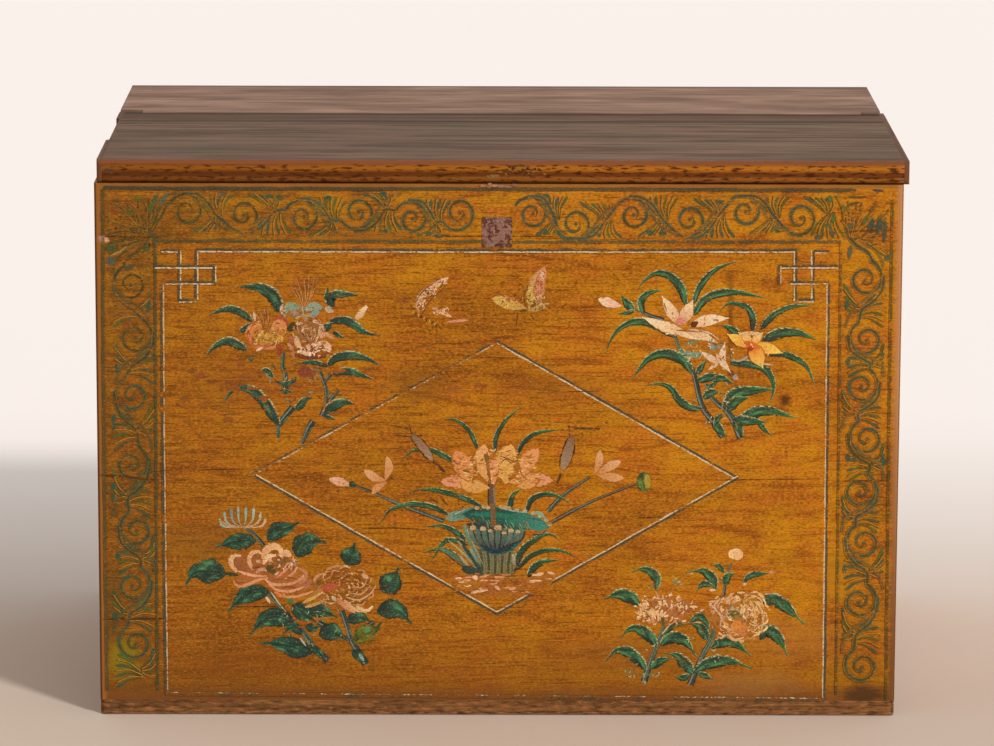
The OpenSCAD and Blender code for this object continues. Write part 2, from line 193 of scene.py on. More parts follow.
def lacquer(tree):
    """Ochre oil lacquer rubbed thin over pine: colour, roughness and height at each place."""
    x, y, z, run = wood_places(tree)
    fibres, bands, marks, dabs, tones, clouds, grit, sway = (
        add(tree, "TexNoise", {"Vector": stretched(tree, run, 0, z, length), "Scale": 1 / high,
                               "Detail": detail, "Roughness": rough})
        for length, high, detail, rough in LACQUER_PATTERNS)
    # growth rings about 13 mm apart, pushed about by a slow noise so that they run in waves
    shift = add(tree, "Math", {0: sway, 1: 9}, operation="MULTIPLY")
    rings = add(tree, "Math", {0: z, 1: 1 / .013, 2: shift}, operation="MULTIPLY_ADD")
    rings = add(tree, "Math", {0: rings, 1: 1}, operation="PINGPONG")
    # it is brighter up and to the right, where the streaks fade; the darker lower left is partly the
    # lacquer's own tone and partly painted shade
    lean = add(tree, "Math", {0: z, 1: 1.1, 2: x}, operation="MULTIPLY_ADD")
    fade = add(tree, "MapRange", {0: x, 1: .05, 2: .3, 3: 1, 4: .56})
    # the rings show, and the film has pitted and crazed, in some places more than in others
    ringed = add(tree, "MapRange", {0: tones, 1: .38, 2: .6, 3: .15, 4: .7})
    crazed = add(tree, "MapRange", {0: clouds, 1: .42, 2: .6, 3: .15})
    colour = layered(tree, hue("#cd8908"), (
        (tones, .4, .62, 1, "#c46e16"), (lean, .72, -.4, .8, "#945208"), (clouds, .48, .68, .7, "#86490a"),
        (bands, .47, .3, .6, "#cb8520", fade), (bands, .52, .7, .4, "#82460a", fade),
        (dabs, .5, .66, .5, "#84490c"), (rings, .7, .97, 1, "#7d4206", ringed),
        (fibres, .55, .64, .75, "#643204", fade), (grit, .5, .68, .5, "#6a3a0c"),
        (grit, .47, .3, .5, "#dc9030"), (marks, .57, .68, .75, "#5c3208", crazed, fade),
        (marks, .44, .3, .55, "#c87a20")))
    # the left side darkens towards olive brown in patches, and the border band most of all
    front_only = add(tree, "MapRange", {0: y, 1: -.29, 2: -.298})
    wide = add(tree, "Math", {0: x}, operation="ABSOLUTE")
    beside = add(tree, "MapRange", {0: wide, 1: .378, 2: .388})
    above = add(tree, "MapRange", {0: z, 1: .541, 2: .551})
    band = add(tree, "Math", {0: beside, 1: above}, operation="MAXIMUM")
    leftward = add(tree, "MapRange", {0: x, 1: .06, 2: -.33})
    patchy = add(tree, "MapRange", {0: dabs, 1: .35, 2: .65, 3: .6, 4: 1.4})
    share = add(tree, "Math", {0: band, 1: .2, 2: .16}, operation="MULTIPLY_ADD")
    share = add(tree, "Math", {0: share, 1: leftward}, operation="MULTIPLY")
    share = add(tree, "Math", {0: band, 1: .05, 2: share}, operation="MULTIPLY_ADD")
    for mask in (patchy, front_only):
        share = add(tree, "Math", {0: share, 1: mask}, operation="MULTIPLY")
    colour = add(tree, "Mix", {0: share, 6: colour, 7: hue("#46391a")}, **COLOUR)
    # rubbed towards the wood along the foot, the upper arris and the upright corners
    rub = add(tree, "Math", {0: marks, 1: bands}, operation="ADD")
    low = add(tree, "Math", {0: clouds, 1: .12, 2: z}, operation="MULTIPLY_ADD")
    foot = add(tree, "Math", {0: rub, 1: .03, 2: z}, operation="MULTIPLY_ADD")
    colour = layered(tree, colour, ((low, .18, .07, .55, "#744611"), (foot, .068, .05, .85, "#74461f")))
    ragged = add(tree, "Math", {0: dabs, 1: bands}, operation="ADD")
    place = add(tree, "TexCoord", {}, "Object")
    for at, size, tone, strength in BLOTS:
        middle, reach = seen_on(FRONT, *at), (size[0] * PIXEL, .012, size[1] * PIXEL)
        near = add(tree, "Mapping", {"Vector": place, "Location": [-m / r for m, r in zip(middle, reach)],
                                     "Scale": [1 / r for r in reach]})
        far = add(tree, "VectorMath", {0: near}, 1, operation="LENGTH")
        far = add(tree, "Math", {0: ragged, 1: 1.1, 2: far}, operation="MULTIPLY_ADD")
        colour = layered(tree, colour, ((far, 2.15, 1.5, strength, tone),))
    crest = add(tree, "Math", {0: rub, 1: .002, 2: z}, operation="MULTIPLY_ADD")
    edge = add(tree, "Math", {0: rub, 1: .006, 2: wide}, operation="MULTIPLY_ADD")
    # on the upright corners the rubbed wood is painted lighter on the right one as a painted highlight, and
    # darker on the left one, with a dark line at its very edge, as painted shade
    right = layered(tree, hue("#bb8050"), ((z, .4, .08, 1, "#744824"),))
    rightward = add(tree, "Math", {0: x, 1: 0}, operation="GREATER_THAN")
    corner = add(tree, "Mix", {0: rightward, 6: hue("#9a6028"), 7: right}, **COLOUR)
    corner = layered(tree, corner, ((x, -.4472, -.4484, 1, "#5c3018"),))
    colour = layered(tree, colour, ((crest, .606, .6095, .75, "#93602f"),
                                    (edge, .4465, .4515, .92, corner, front_only)))
    roughness = add(tree, "MapRange", {0: bands, 1: .3, 2: .7, 3: .42, 4: .6})
    height = add(tree, "Math", {0: fibres, 1: marks}, operation="ADD")
    height = add(tree, "Math", {0: height, 1: grit}, operation="ADD")
    height = add(tree, "Math", {0: height, 1: -.5}, operation="MULTIPLY")
    return colour, roughness, height


def away_from(tree, along, place):
    """How far a coordinate is from a place, in metres."""
    off = add(tree, "Math", {0: along, 1: place}, operation="SUBTRACT")
    return add(tree, "Math", {0: off}, operation="ABSOLUTE")


def seam_lines(tree, colour, levels):
    """Draws the dark cracks between planks at the given heights in metres, open more in some places."""
    x, y, z, run = wood_places(tree)
    gape = add(tree, "TexNoise", {"Vector": stretched(tree, run, 0, z, 6), "Scale": 1 / .02, "Detail": 2})
    for level in levels:
        off = add(tree, "Math", {0: gape, 1: -.0016, 2: away_from(tree, z, level)},
                  operation="MULTIPLY_ADD")
        colour = layered(tree, colour, ((off, .0004, -.0002, .9, "#2e1708"),))
    return colour


def dark_line(tree, colour, along, place, width, tone, strength):
    """Darkens a colour where a coordinate comes close to a place in metres."""
    off = away_from(tree, along, place)
    return layered(tree, colour, ((off, width, width * .6, strength, tone),))


def bare_pine(tree, base, dark, pale, grain):
    """Unpainted pine, planed long ago: streaked grain along x (0) or y (1), and dark ends."""
    x, y, z, run = wood_places(tree)
    along, across = (x, y) if grain == 0 else (y, x)
    # fibres 1.4 mm and bands 7 mm across, clouds 30 mm, and rings about 11 mm apart
    fibres, bands, clouds = (
        add(tree, "TexNoise", {"Vector": stretched(tree, along, across, z, length), "Scale": 1 / high,
                               "Detail": 3, "Roughness": rough})
        for length, high, rough in ((34, .0014, .6), (34, .007, .5), (9, .03, .5)))
    spread = add(tree, "Math", {0: across, 1: z}, operation="ADD")
    shift = add(tree, "Math", {0: clouds, 1: 6}, operation="MULTIPLY")
    rings = add(tree, "Math", {0: spread, 1: 1 / .011, 2: shift}, operation="MULTIPLY_ADD")
    rings = add(tree, "Math", {0: rings, 1: 1}, operation="PINGPONG")
    colour = layered(tree, hue(base), ((clouds, .35, .65, 1, pale), (rings, .6, 1, .55, dark),
                                       (bands, .48, .7, .6, dark), (fibres, .52, .72, .65, dark)))
    colour = end_grain(tree, colour, dark, grain)
    roughness = add(tree, "MapRange", {0: fibres, 1: .3, 2: .7, 3: .62, 4: .8})
    height = add(tree, "Math", {0: fibres, 1: -1}, operation="MULTIPLY")
    return colour, roughness, height


def lacquered_planks(name, grain, seams):
    """Pine wall planks, lacquered outside on the front and sides and left bare inside and behind."""
    material, tree = new_material(name)
    outer, outer_rough, outer_height = lacquer(tree)
    outer = end_grain(tree, outer, "#5d3610", grain)
    inner, inner_rough, inner_height = bare_pine(tree, "#9a714e", "#7a5436", "#a87f5a", grain)
    x, y, z, run = wood_places(tree)
    wide = add(tree, "Math", {0: x}, operation="ABSOLUTE")
    side = add(tree, "Math", {0: wide, 1: SIDE_FACE}, operation="GREATER_THAN")
    front = add(tree, "Math", {0: y, 1: FRONT_FACE}, operation="LESS_THAN")
    painted = add(tree, "Math", {0: side, 1: front}, operation="MAXIMUM")
    colour = add(tree, "Mix", {0: painted, 6: inner, 7: outer}, **COLOUR)
    colour = seam_lines(tree, colour, seams)
    roughness = add(tree, "Mix", {0: painted, 2: inner_rough, 3: outer_rough})
    height = add(tree, "Mix", {0: painted, 2: inner_height, 3: outer_height})
    finish_material(tree, colour, roughness, height, RELIEF)
    return material


def plain_pine(name, base, dark, pale, grain=0, seam=None, chipped=False, painted_end=False):
    """Bare pine on the boards that were never painted, with painted shade beside a seam, chipped on the
    foot, or with old red-brown paint on the end that shows in front."""
    material, tree = new_material(name)
    colour, roughness, height = bare_pine(tree, base, dark, pale, grain)
    x, y, z, run = wood_places(tree)
    if seam is not None:
        # dark and pinkish patches 45 mm wide, painted shade along the seam, and a darker strip along the far
        # edge
        patches = add(tree, "TexNoise", {"Vector": stretched(tree, x, y, z, 3), "Scale": 1 / .045,
                                         "Detail": 3})
        colour = layered(tree, colour, ((patches, .52, .68, .7, "#6b5144"),
                                        (patches, .46, .3, .7, "#b4907e")))
        colour = dark_line(tree, colour, y, seam, .01, "#3a271b", .95)
        colour = dark_line(tree, colour, y, .3, .016, "#4c382c", .8)
    if painted_end:
        colour = layered(tree, colour, ((y, -.2935, -.2945, .85, "#74482a"),))
    if chipped:
        # flakes of old lacquer 15 mm long cling to it, and the lower arris is rubbed pale and pinkish
        flakes = add(tree, "TexNoise", {"Vector": stretched(tree, run, 0, z, 5), "Scale": 1 / .003,
                                        "Detail": 3, "Roughness": .65})
        low = add(tree, "Math", {0: flakes, 1: .012, 2: z}, operation="MULTIPLY_ADD")
        colour = layered(tree, colour, ((flakes, .52, .62, .75, "#472a16"),
                                        (flakes, .45, .36, .8, "#a8683c"),
                                        (low, .0098, .0068, .8, "#b88868")))
        height = add(tree, "Math", {0: flakes, 1: 1.4, 2: height}, operation="MULTIPLY_ADD")
    finish_material(tree, colour, roughness, height, RELIEF)
    return material


def lid_wood():
    """Lid planks: pine handled to grey-brown on top, with mauve and olive patches, pale underneath,
    and ochre paint on the front edge under a worn red-brown arris."""
    material, tree = new_material("handled_pine_with_ochre_edge")
    x, y, z, run = wood_places(tree)
    top, top_rough, top_height = bare_pine(tree, "#715947", "#45301f", "#836a56", 0)
    patches, dirt = (
        add(tree, "TexNoise", {"Vector": stretched(tree, x, y, z, length), "Scale": 1 / high, "Detail": 2})
        for length, high in ((4, .035), (14, .016)))
    # the rear plank is darker and the joint between the planks is dark; the dark band beside the seam with
    # the rear board is painted shade in the gap, and the top darkens towards the left
    top = layered(tree, top, ((patches, .53, .68, .55, "#5c5340"), (patches, .46, .3, .6, "#8c6658"),
                              (dirt, .5, .64, .6, "#4c3a2c"), (dirt, .46, .32, .5, "#8a7260"),
                              (y, -.004, .02, .55, "#593c2a")))
    for place, width, strength in ((-.001, .0075, .7), (.0595, .011, .95)):
        top = dark_line(tree, top, y, place, width, "#301e14", strength)
    top = layered(tree, top, ((x, .3, -.4, .3, "#4a382c"),))
    inner, inner_rough, inner_height = bare_pine(tree, "#94704f", "#604028", "#a88260", 0)
    upper = add(tree, "MapRange", {0: z, 1: .6115, 2: .613})
    wood = add(tree, "Mix", {0: upper, 6: inner, 7: top}, **COLOUR)
    # the painted edge: a bright band near its top that is a painted highlight, over a rubbed dark red one,
    # dark specks, painted shade along its lower edge, and darker towards the left
    paint, paint_rough, paint_height = lacquer(tree)
    wander, specks = (
        add(tree, "TexNoise", {"Vector": stretched(tree, x, 0, z, length), "Scale": 1 / high, "Detail": 3})
        for length, high in ((7, .012), (4.5, .0026)))
    lower = add(tree, "Math", {0: z, 1: .002}, operation="SUBTRACT")
    level = add(tree, "Math", {0: wander, 1: .004, 2: lower}, operation="MULTIPLY_ADD")
    broken = add(tree, "Math", {0: wander, 1: .3, 2: specks}, operation="MULTIPLY_ADD")
    paint = add(tree, "Mix", {0: .55, 6: paint, 7: hue("#824406")}, **COLOUR)
    paint = layered(tree, paint, ((away_from(tree, level, .628), .0036, .001, .6, "#c8780a"),))
    paint = dark_line(tree, paint, level, .6208, .0034, "#5c2600", .75)
    paint = layered(tree, paint, ((broken, .67, .76, .85, "#381600"), (level, .6145, .6105, .9, "#401a00"),
                                  (x, .2, -.42, .52, "#4c2402")))
    front = add(tree, "Math", {0: y, 1: -.2945}, operation="LESS_THAN")
    colour = add(tree, "Mix", {0: front, 6: wood, 7: paint}, **COLOUR)
    forward = add(tree, "MapRange", {0: y, 1: -.292, 2: -.297})
    colour = layered(tree, colour, ((level, .6308, .633, 1, "#80492a", forward),))
    roughness = add(tree, "Mix", {0: front, 2: top_rough, 3: paint_rough})
    height = add(tree, "Mix", {0: front, 2: top_height, 3: paint_height})
    finish_material(tree, colour, roughness, height, RELIEF)
    return material


# Paint
def paint_material(name, kind):
    """Mineral paint brushed on the lacquer and worn away with it: a stroke's tint where it is left,
    and the lacquer's own colour where it has gone."""
    material, tree = new_material(name)
    ground, ground_rough, ground_height = lacquer(tree)
    x, y, z, run = wood_places(tree)
    tint = add(tree, "Attribute", {}, "Color", attribute_name="tint")
    brush = add(tree, "Attribute", {}, "Vector", attribute_name="brush")
    along, across, wear = add(tree, "SeparateXYZ", {"Vector": brush}).node.outputs
    aside = away_from(tree, across, .5)
    # worn marks 4 mm long and 2 mm high, in patches 14 mm across, and more of them along the edges;
    # paint lies thick and thin every 3 mm, with specks of 1.5 mm, and grains of 2.4 mm in shell white
    flakes, patches, thick, specks, grains = (
        add(tree, "TexNoise", {"Vector": stretched(tree, run, 0, z, length), "Scale": 1 / high,
                               "Detail": detail, "Roughness": rough})
        for length, high, detail, rough in ((2.2, .002, 2, .65), (1.5, .014, 2, .5), (1.4, .0032, 2, .5),
                                            (1.5, .0015, 1, .5), (1.2, .0024, 2, .5)))
    patched = add(tree, "Math", {0: patches, 1: .4}, operation="MULTIPLY")
    rubbed = add(tree, "MapRange", {0: aside, 1: .3, 2: .5, 4: .11})
    left = add(tree, "Math", {0: flakes, 1: .6}, operation="MULTIPLY")
    for part in (patched, rubbed):
        left = add(tree, "Math", {0: left, 1: part}, operation="ADD")
    limit = add(tree, "Math", {0: wear, 1: -.42, 2: .7}, operation="MULTIPLY_ADD")
    gone = add(tree, "Math", {0: left, 1: limit}, operation="SUBTRACT")
    gone = add(tree, "MapRange", {0: gone, 1: -.03, 2: .05})
    dull = add(tree, "Mix", {0: .6, 6: tint, 7: hue("#1c1208")}, **COLOUR)
    bright = add(tree, "Mix", {0: .22 if kind == "line" else .5, 6: tint, 7: hue("#e8c088")}, **COLOUR)
    light = kind == "petal"
    layers = [(thick, .5, .7, .3 if light else .45, dull), (specks, .52, .68, .5 if light else .75, dull),
              (specks, .42, .27, .6, bright)]
    if kind in ("leaf", "rimmed_leaf"):
        # the brush left darker and lighter streaks along a leaf, with a vein and dark edges
        lay = add(tree, "CombineXYZ", {
            "X": add(tree, "Math", {0: along, 1: 3}, operation="MULTIPLY"),
            "Y": add(tree, "Math", {0: across, 1: 3.5}, operation="MULTIPLY"),
            "Z": add(tree, "Math", {0: run, 1: 9}, operation="MULTIPLY")})
        streaks = add(tree, "TexNoise", {"Vector": lay, "Scale": 1, "Detail": 2})
        layers += [(streaks, .48, .62, .75, "#062c28"), (streaks, .45, .32, .65, "#569c68")]
    if kind == "leaf":
        layers += [(aside, .07, .02, .6, "#0b271c"), (aside, .34, .46, .6, "#13241a")]
    elif kind == "rimmed_leaf":
        # a pale rim, flaked off in places, on the upper side
        kept = add(tree, "MapRange", {0: flakes, 1: .54, 2: .46})
        layers += [(across, .24, .08, .9, "#0e2418"), (across, .82, .9, .9, "#d0c28a", kept)]
    elif light:
        # shell white grew grainy over the red ground, and a thin brown line bounds each petal
        layers += [(grains, .53, .65, .4, "#b06c30"), (aside, .41, .46, .8, "#84441c")]
    colour = layered(tree, tint, layers)
    stays = add(tree, "Math", {0: 1, 1: gone}, operation="SUBTRACT")
    stays = add(tree, "Math", {0: stays, 1: tint.node.outputs["Alpha"]}, operation="MULTIPLY")
    colour = add(tree, "Mix", {0: stays, 6: ground, 7: colour}, **COLOUR)
    height = add(tree, "Math", {0: stays, 1: .3, 2: ground_height}, operation="MULTIPLY_ADD")
    finish_material(tree, colour, ground_rough, height, RELIEF)
    return material


# Brush strokes
def even_curve(points, count):
    """Evenly spaced points on a smooth curve through the given ones."""
    knots = [Vector(p) for p in points]
    knots = [2 * knots[0] - knots[1]] + knots + [2 * knots[-1] - knots[-2]]
    dense = []
    for a, b, c, d in zip(knots, knots[1:], knots[2:], knots[3:]):
        for t in (k / 8 for k in range(8)):
            dense.append((2 * b + (c - a) * t + (2 * a - 5 * b + 4 * c - d) * t * t
                          + (3 * b - a - 3 * c + d) * t ** 3) / 2)
    dense.append(knots[-2])
    reach = [0]
    for a, b in zip(dense, dense[1:]):
        reach.append(reach[-1] + (b - a).length)
    even, k = [], 0
    for step in range(count):
        goal = reach[-1] * step / (count - 1)
        while k < len(dense) - 2 and reach[k + 1] < goal:
            k += 1
        share = (goal - reach[k]) / max(reach[k + 1] - reach[k], 1e-9)
        even.append(dense[k].lerp(dense[k + 1], min(share, 1)))
    return even


SHAPES = {
    "leaf": lambda u: max(sin(pi * min(u * 1.14, 1) ** .8), .09) ** .85,
    "blade": lambda u: (.3 + .7 * sin(pi * u ** .6)) * (1 - u ** 4),
    "petal": lambda u: max(sin(pi * u ** 1.25), 0) ** .7,
    "point": lambda u: max(sin(pi * min(u * 1.04, 1) ** .85), .06) ** .9,
    "oval": lambda u: 2 * sqrt(max(u * (1 - u), 0)),
    "line": lambda u: 1,
    "taper": lambda u: 1 - .75 * u,
    "stem": lambda u: .5 + .5 * u,
    "wave": lambda u: .45 + .55 * sin(pi * min(u * 1.15, 1)) ** .7,
    "drop": lambda u: (.14 + .86 * u ** 1.8) * sqrt(max(1 - u ** 6, 0)),
}


class Painting:
    """Thin strokes on one face of the chest, laid one over the other in the order they are made."""
    tops = {}             # how many strokes lie on each small square of a face

    def __init__(self, name, face=FRONT):
        self.name, self.face = name, face
        self.mesh = bmesh.new()
        self.brush = self.mesh.verts.layers.float_vector.new("brush")
        self.tint = self.mesh.verts.layers.float_color.new("tint")
        self.hand = random.Random(name)

    def level(self, places, width):
        """How many strokes already lie under a new one, which is then counted there as well."""
        side, reach = self.face[0].z, width / 2 + 1
        squares = {(side, col, row) for px, py in places
                   for col in range(int((px - reach) // SQUARE), int((px + reach) // SQUARE) + 1)
                   for row in range(int((py - reach) // SQUARE), int((py + reach) // SQUARE) + 1)}
        top = 1 + max(self.tops.get(square, 0) for square in squares)
        self.tops.update({square: top for square in squares})
        return top

    def stroke(self, points, width, root, tip=None, wear=.35, shape="leaf", slot=0, cells=12,
               cover=.95, shake=.1):
        """One stroke along points of the picture, with its widest part in pixels, its colours from
        root to tip, how far it has worn, how well it covers and how unsteady its edges are."""
        root, tip = Vector(hue(root)), Vector(hue(tip or root))
        root[3] = tip[3] = cover
        places = [(p.x, p.y) for p in even_curve(points, cells + 1)]
        path = [seen_on(self.face, *p) for p in places]
        run = sum(hypot(b[0] - a[0], b[1] - a[1]) for a, b in zip(places, places[1:]))
        under = [(p.x, p.y) for p in even_curve(points, max(int(run / 3), 2))]
        lift = self.face[1] * (PAINT_STAND + STROKE_STEP * self.level(under, width))
        leftward = path[-1].x < path[0].x
        grid = bmesh.ops.create_grid(self.mesh, x_segments=cells, y_segments=2, size=.5)
        for vert in grid["verts"]:
            u, v = vert.co.x + .5, vert.co.y + .5
            k = round(u * cells)
            ahead = (path[min(k + 1, cells)] - path[max(k - 1, 0)]).normalized()
            aside = self.face[1].cross(ahead)
            half = (v - .5) * max(SHAPES[shape](u), .02) * width * PIXEL
            half *= 1 + self.hand.uniform(-shake, shake)
            vert.co = path[k] + aside * half + lift
            vert[self.brush] = (u, 1 - v if leftward else v, wear)
            vert[self.tint] = root.lerp(tip, u)
        for face in {f for vert in grid["verts"] for f in vert.link_faces}:
            face.material_index = slot

    def done(self, materials, body="carcass", slot="ochre_lacquer"):
        """Turns the strokes into one object that moves with a body of the chest."""
        piece = new_piece(self.name, self.mesh, materials)
        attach(piece, body)


# Materials of the planks, boards and pegs
SIDE_SEAMS, BACK_SEAMS = (.206, .418), (.194, .418)       # heights in metres
front_wood = lacquered_planks("ochre_oil_lacquer_on_front_pine", 0, ())
side_wood = lacquered_planks("ochre_oil_lacquer_on_side_pine", 1, SIDE_SEAMS)
back_wood = lacquered_planks("bare_pine_behind_with_lacquered_ends", 0, BACK_SEAMS)
lid_top = lid_wood()
rear_board = plain_pine("sun_bleached_pine", "#8f7060", "#6e5242", "#a0806d", seam=.0615)
end_strips = plain_pine("greened_pine_strip", "#6a4c3a", "#4a3424", "#7c5c48", 1, painted_end=True)
foot_boards = plain_pine("rubbed_dark_pine", "#80542c", "#4b2f18", "#8d6238", chipped=True)
inside_boards = plain_pine("bare_sawn_pine", "#a5764d", "#6d4629", "#b98a5e")
battens = plain_pine("bare_pine_battens", "#94694a", "#5f3f2a", "#a87c57", 1)
pegs = plain_pine("split_bamboo_pegs", "#b08a52", "#7d5c33", "#c6a268", 1)

DRESS = {
    "front_plank": front_wood, "back_plank": back_wood, "left_plank": side_wood, "right_plank": side_wood,
    "bottom_board": foot_boards, "seam_rail": inside_boards, "rear_top_board": rear_board,
    "lid_plank": lid_top, "lid_strip": end_strips, "lid_batten": battens, "pivot_pin": pegs,
    "wall_pegs": pegs, "bottom_pegs": pegs, "top_board_pegs": pegs, "lid_pegs": pegs, "strip_nails": pegs}
for node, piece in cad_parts.items():
    for start, material in DRESS.items():
        if node.startswith(start):
            for slot in piece.material_slots:
                slot.material = material

leaf_paint = paint_material("mineral_green_paint", "leaf")
rimmed_paint = paint_material("mineral_green_paint_with_pale_rim", "rimmed_leaf")
petal_paint = paint_material("shell_white_and_red_paint", "petal")
line_paint = paint_material("thin_brushed_line_paint", "line")
PAINTS = [leaf_paint, petal_paint, line_paint, rimmed_paint]
LEAF, PETAL, LINE, RIMMED = 0, 1, 2, 3
GREEN, DEEP, TEAL, BROWN = "#2a7848", "#123f2e", "#10403a", "#4a3222"


# Scroll border
BAND = 21                 # half the height of the band between its two lines, in pixels
SPACING = 55              # usual distance from one spiral to the next
TEAL_LINE = "#225440"


def scroll_band(painting, spirals, along, outward, side, worn, start=True, end=True):
    """A running wave that curls into a spiral on one side and then on the other, with a fan of drops in
    each gap, and at its start and end if asked. The spirals' centres and the band's middle are in pixels,
    and side is the first one's."""
    hand = painting.hand
    (ux, uy), (ox, oy) = along, outward
    middle = sum(px * ox + py * oy for px, py in spirals) / len(spirals)

    def at(centre, a, b):
        """A place beside a spiral's centre, kept inside the band."""
        level = centre[0] * ox + centre[1] * oy - middle
        b = max(min(b, BAND - level), -BAND - level)
        return centre[0] + ux * a + ox * b, centre[1] + uy * a + oy * b

    def fan(centre, root, tips, bow, rubbed):
        """Drops of teal, green and olive between thin dark lines, from a root to a row of tips."""
        for k, (a, b) in enumerate(tips):
            start = at(centre, root[0] + (a - root[0]) * .16, root[1])
            tip, mid = at(centre, a, b), at(centre, root[0] * .4 + a * .6 + bow, root[1] * .5 + b * .5)
            if k % 2:
                painting.stroke([start, mid, tip], 1.2, "#4a4014", wear=rubbed, shape="line", cells=8,
                                cover=.85)
                painting.stroke([(px + 1.2, py) for px, py in (start, mid, tip)], 1, "#b88434", wear=rubbed,
                                shape="line", cells=8, cover=.8)
            else:
                tone = hand.choice((TEAL_LINE, "#245844", "#3c6a30", "#4c5a24"))
                painting.stroke([start, mid, tip], hand.uniform(4, 5.6), "#4c5024", tone,
                                wear=rubbed, shape="drop", cells=9, cover=.88)

    for k, centre in enumerate(spirals):
        rubbed = worn(*centre)
        last = spirals[k - 1] if k else at(centre, 1 - SPACING, 0)
        span = hypot(centre[0] - last[0], centre[1] - last[1]) / SPACING
        # the wave falls from the crown of the last spiral and climbs round this one
        path = [at(last, -4, -19 * side), at(last, 10, -17 * side), at(last, 20 * span, -9 * side),
                at(last, 28 * span, 3 * side)]
        for step in range(33):
            share = step / 32
            angle = pi * .86 - share * tau * 1.55
            r = 19 - 14.5 * share ** .85
            path.append(at(centre, cos(angle) * r * (1 - .1 * share), sin(angle) * r * side))
        if not k and not start:
            path = path[4:]
        tones = (("#2c5640", "#1c4438", "#34482a", "#3a3f1c") if rubbed < .31 else
                 ("#484e2c", "#303c26", "#3a3c1a", "#2a4434"))
        soft, heart = tones[0], tones[2]
        painting.stroke(path[:28], 4.6, soft, wear=rubbed + .1, shape="line", cells=66, cover=.55)
        for first in range(0, len(path) - 8, 4):
            painting.stroke(path[first:first + 6], hand.uniform(1.8, 3.2), hand.choice(tones),
                            hand.choice(tones), wear=rubbed, shape="line", cells=14, cover=.88)
        painting.stroke(path[24:], 3, heart, wear=rubbed, shape="taper", cells=36, cover=.8)
        painting.stroke([at(centre, -1, 0), at(centre, 3, .5)], 4, "#33483a", wear=rubbed, shape="oval",
                        cells=6, cover=.75)
        aside = [at(last, 6, -12 * side), at(last, 17 * span, -3 * side), at(last, 24 * span, 8 * side),
                 at(last, 32 * span, 15 * side), at(last, 44 * span, 20 * side)]
        for tone, width in ((soft, 3), ("#2f3a20", 1.1)):
            if k or start:
                painting.stroke(aside, width, tone, wear=rubbed + .06, shape="line", cells=24, cover=.6)
        if k == len(spirals) - 1 and not end:
            break
        # a tall fan over the falling wave, and a low one under it
        nxt = spirals[k + 1] if k + 1 < len(spirals) else at(centre, SPACING, 0)
        span = hypot(nxt[0] - centre[0], nxt[1] - centre[1]) / SPACING
        fan(centre, (33 * span, -6 * side), [((11 + 5.6 * s) * span, (21 - abs(s - 3) * .6) * side)
                                             for s in range(7)], -3, rubbed)
        fan(centre, (29 * span, -5 * side), [((4 + 5.6 * s) * span, -(22 - s * .4) * side)
                                             for s in range(6)], 2, rubbed)
        for _ in range(hand.choice((0, 1, 2))):
            spot = at(centre, hand.uniform(16, 34) * span, hand.choice((BAND - 2, 3 - BAND)) * side)
            painting.stroke([(spot[0] - ux * 4, spot[1] - uy * 4), (spot[0] + ux * 4, spot[1] + uy * 4)], 5,
                            TEAL_LINE, wear=rubbed, shape="oval", cells=6, cover=.9)
        side = -side


def palmette(painting, root, spread, reach, worn, colours):
    """A fan of fine broken strokes from a corner of the band."""
    first, last, count = spread
    for k in range(count):
        turn = (first + (last - first) * k / (count - 1)) * pi / 180
        far = min(reach / max(abs(cos(turn)), abs(sin(turn))), reach * 1.22)
        parts = sorted(painting.hand.uniform(.05, 1) for _ in range(2 + k % 2))
        for near, end in zip(parts, parts[1:] or [1]):
            way = turn + painting.hand.uniform(-.12, .12)
            marks = [(root[0] + cos(way) * far * s, root[1] - sin(way) * far * s)
                     for s in (near, (near + end) / 2, end)]
            marks[1] = (marks[1][0] + 1.6, marks[1][1] - 1.6)
            painting.stroke(marks, 1.6, *colours, wear=worn, shape="line", cells=10, cover=.8)
            painting.stroke([(px + 1.6, py + 1.4) for px, py in marks], .9, "#94702a", wear=worn,
                            shape="line", cells=10, cover=.4)


def border_wear(px, py):
    """How far the border has worn: most in its upper left corner."""
    return .4 - .2 * min(hypot(px - 110, (py - 190) * .8) / 330, 1)


# the spirals' centres along the top, left and right of the wax patch, and down each side
TOP_LEFT_SPIRALS = (187, 211), (243, 215), (303, 217), (358, 212), (412, 219), (459, 213)
TOP_RIGHT_SPIRALS = (532, 214), (575, 224), (633, 215), (689, 220), (745, 212), (800, 218)
LEFT_SPIRALS = (131, 284), (135, 337), (133, 395), (131, 464), (137, 530), (133, 585), (136, 643)
RIGHT_SPIRALS = ((865, 279), (867, 339), (861, 386), (867, 438), (859, 491), (864, 542), (859, 601),
                 (862, 666))
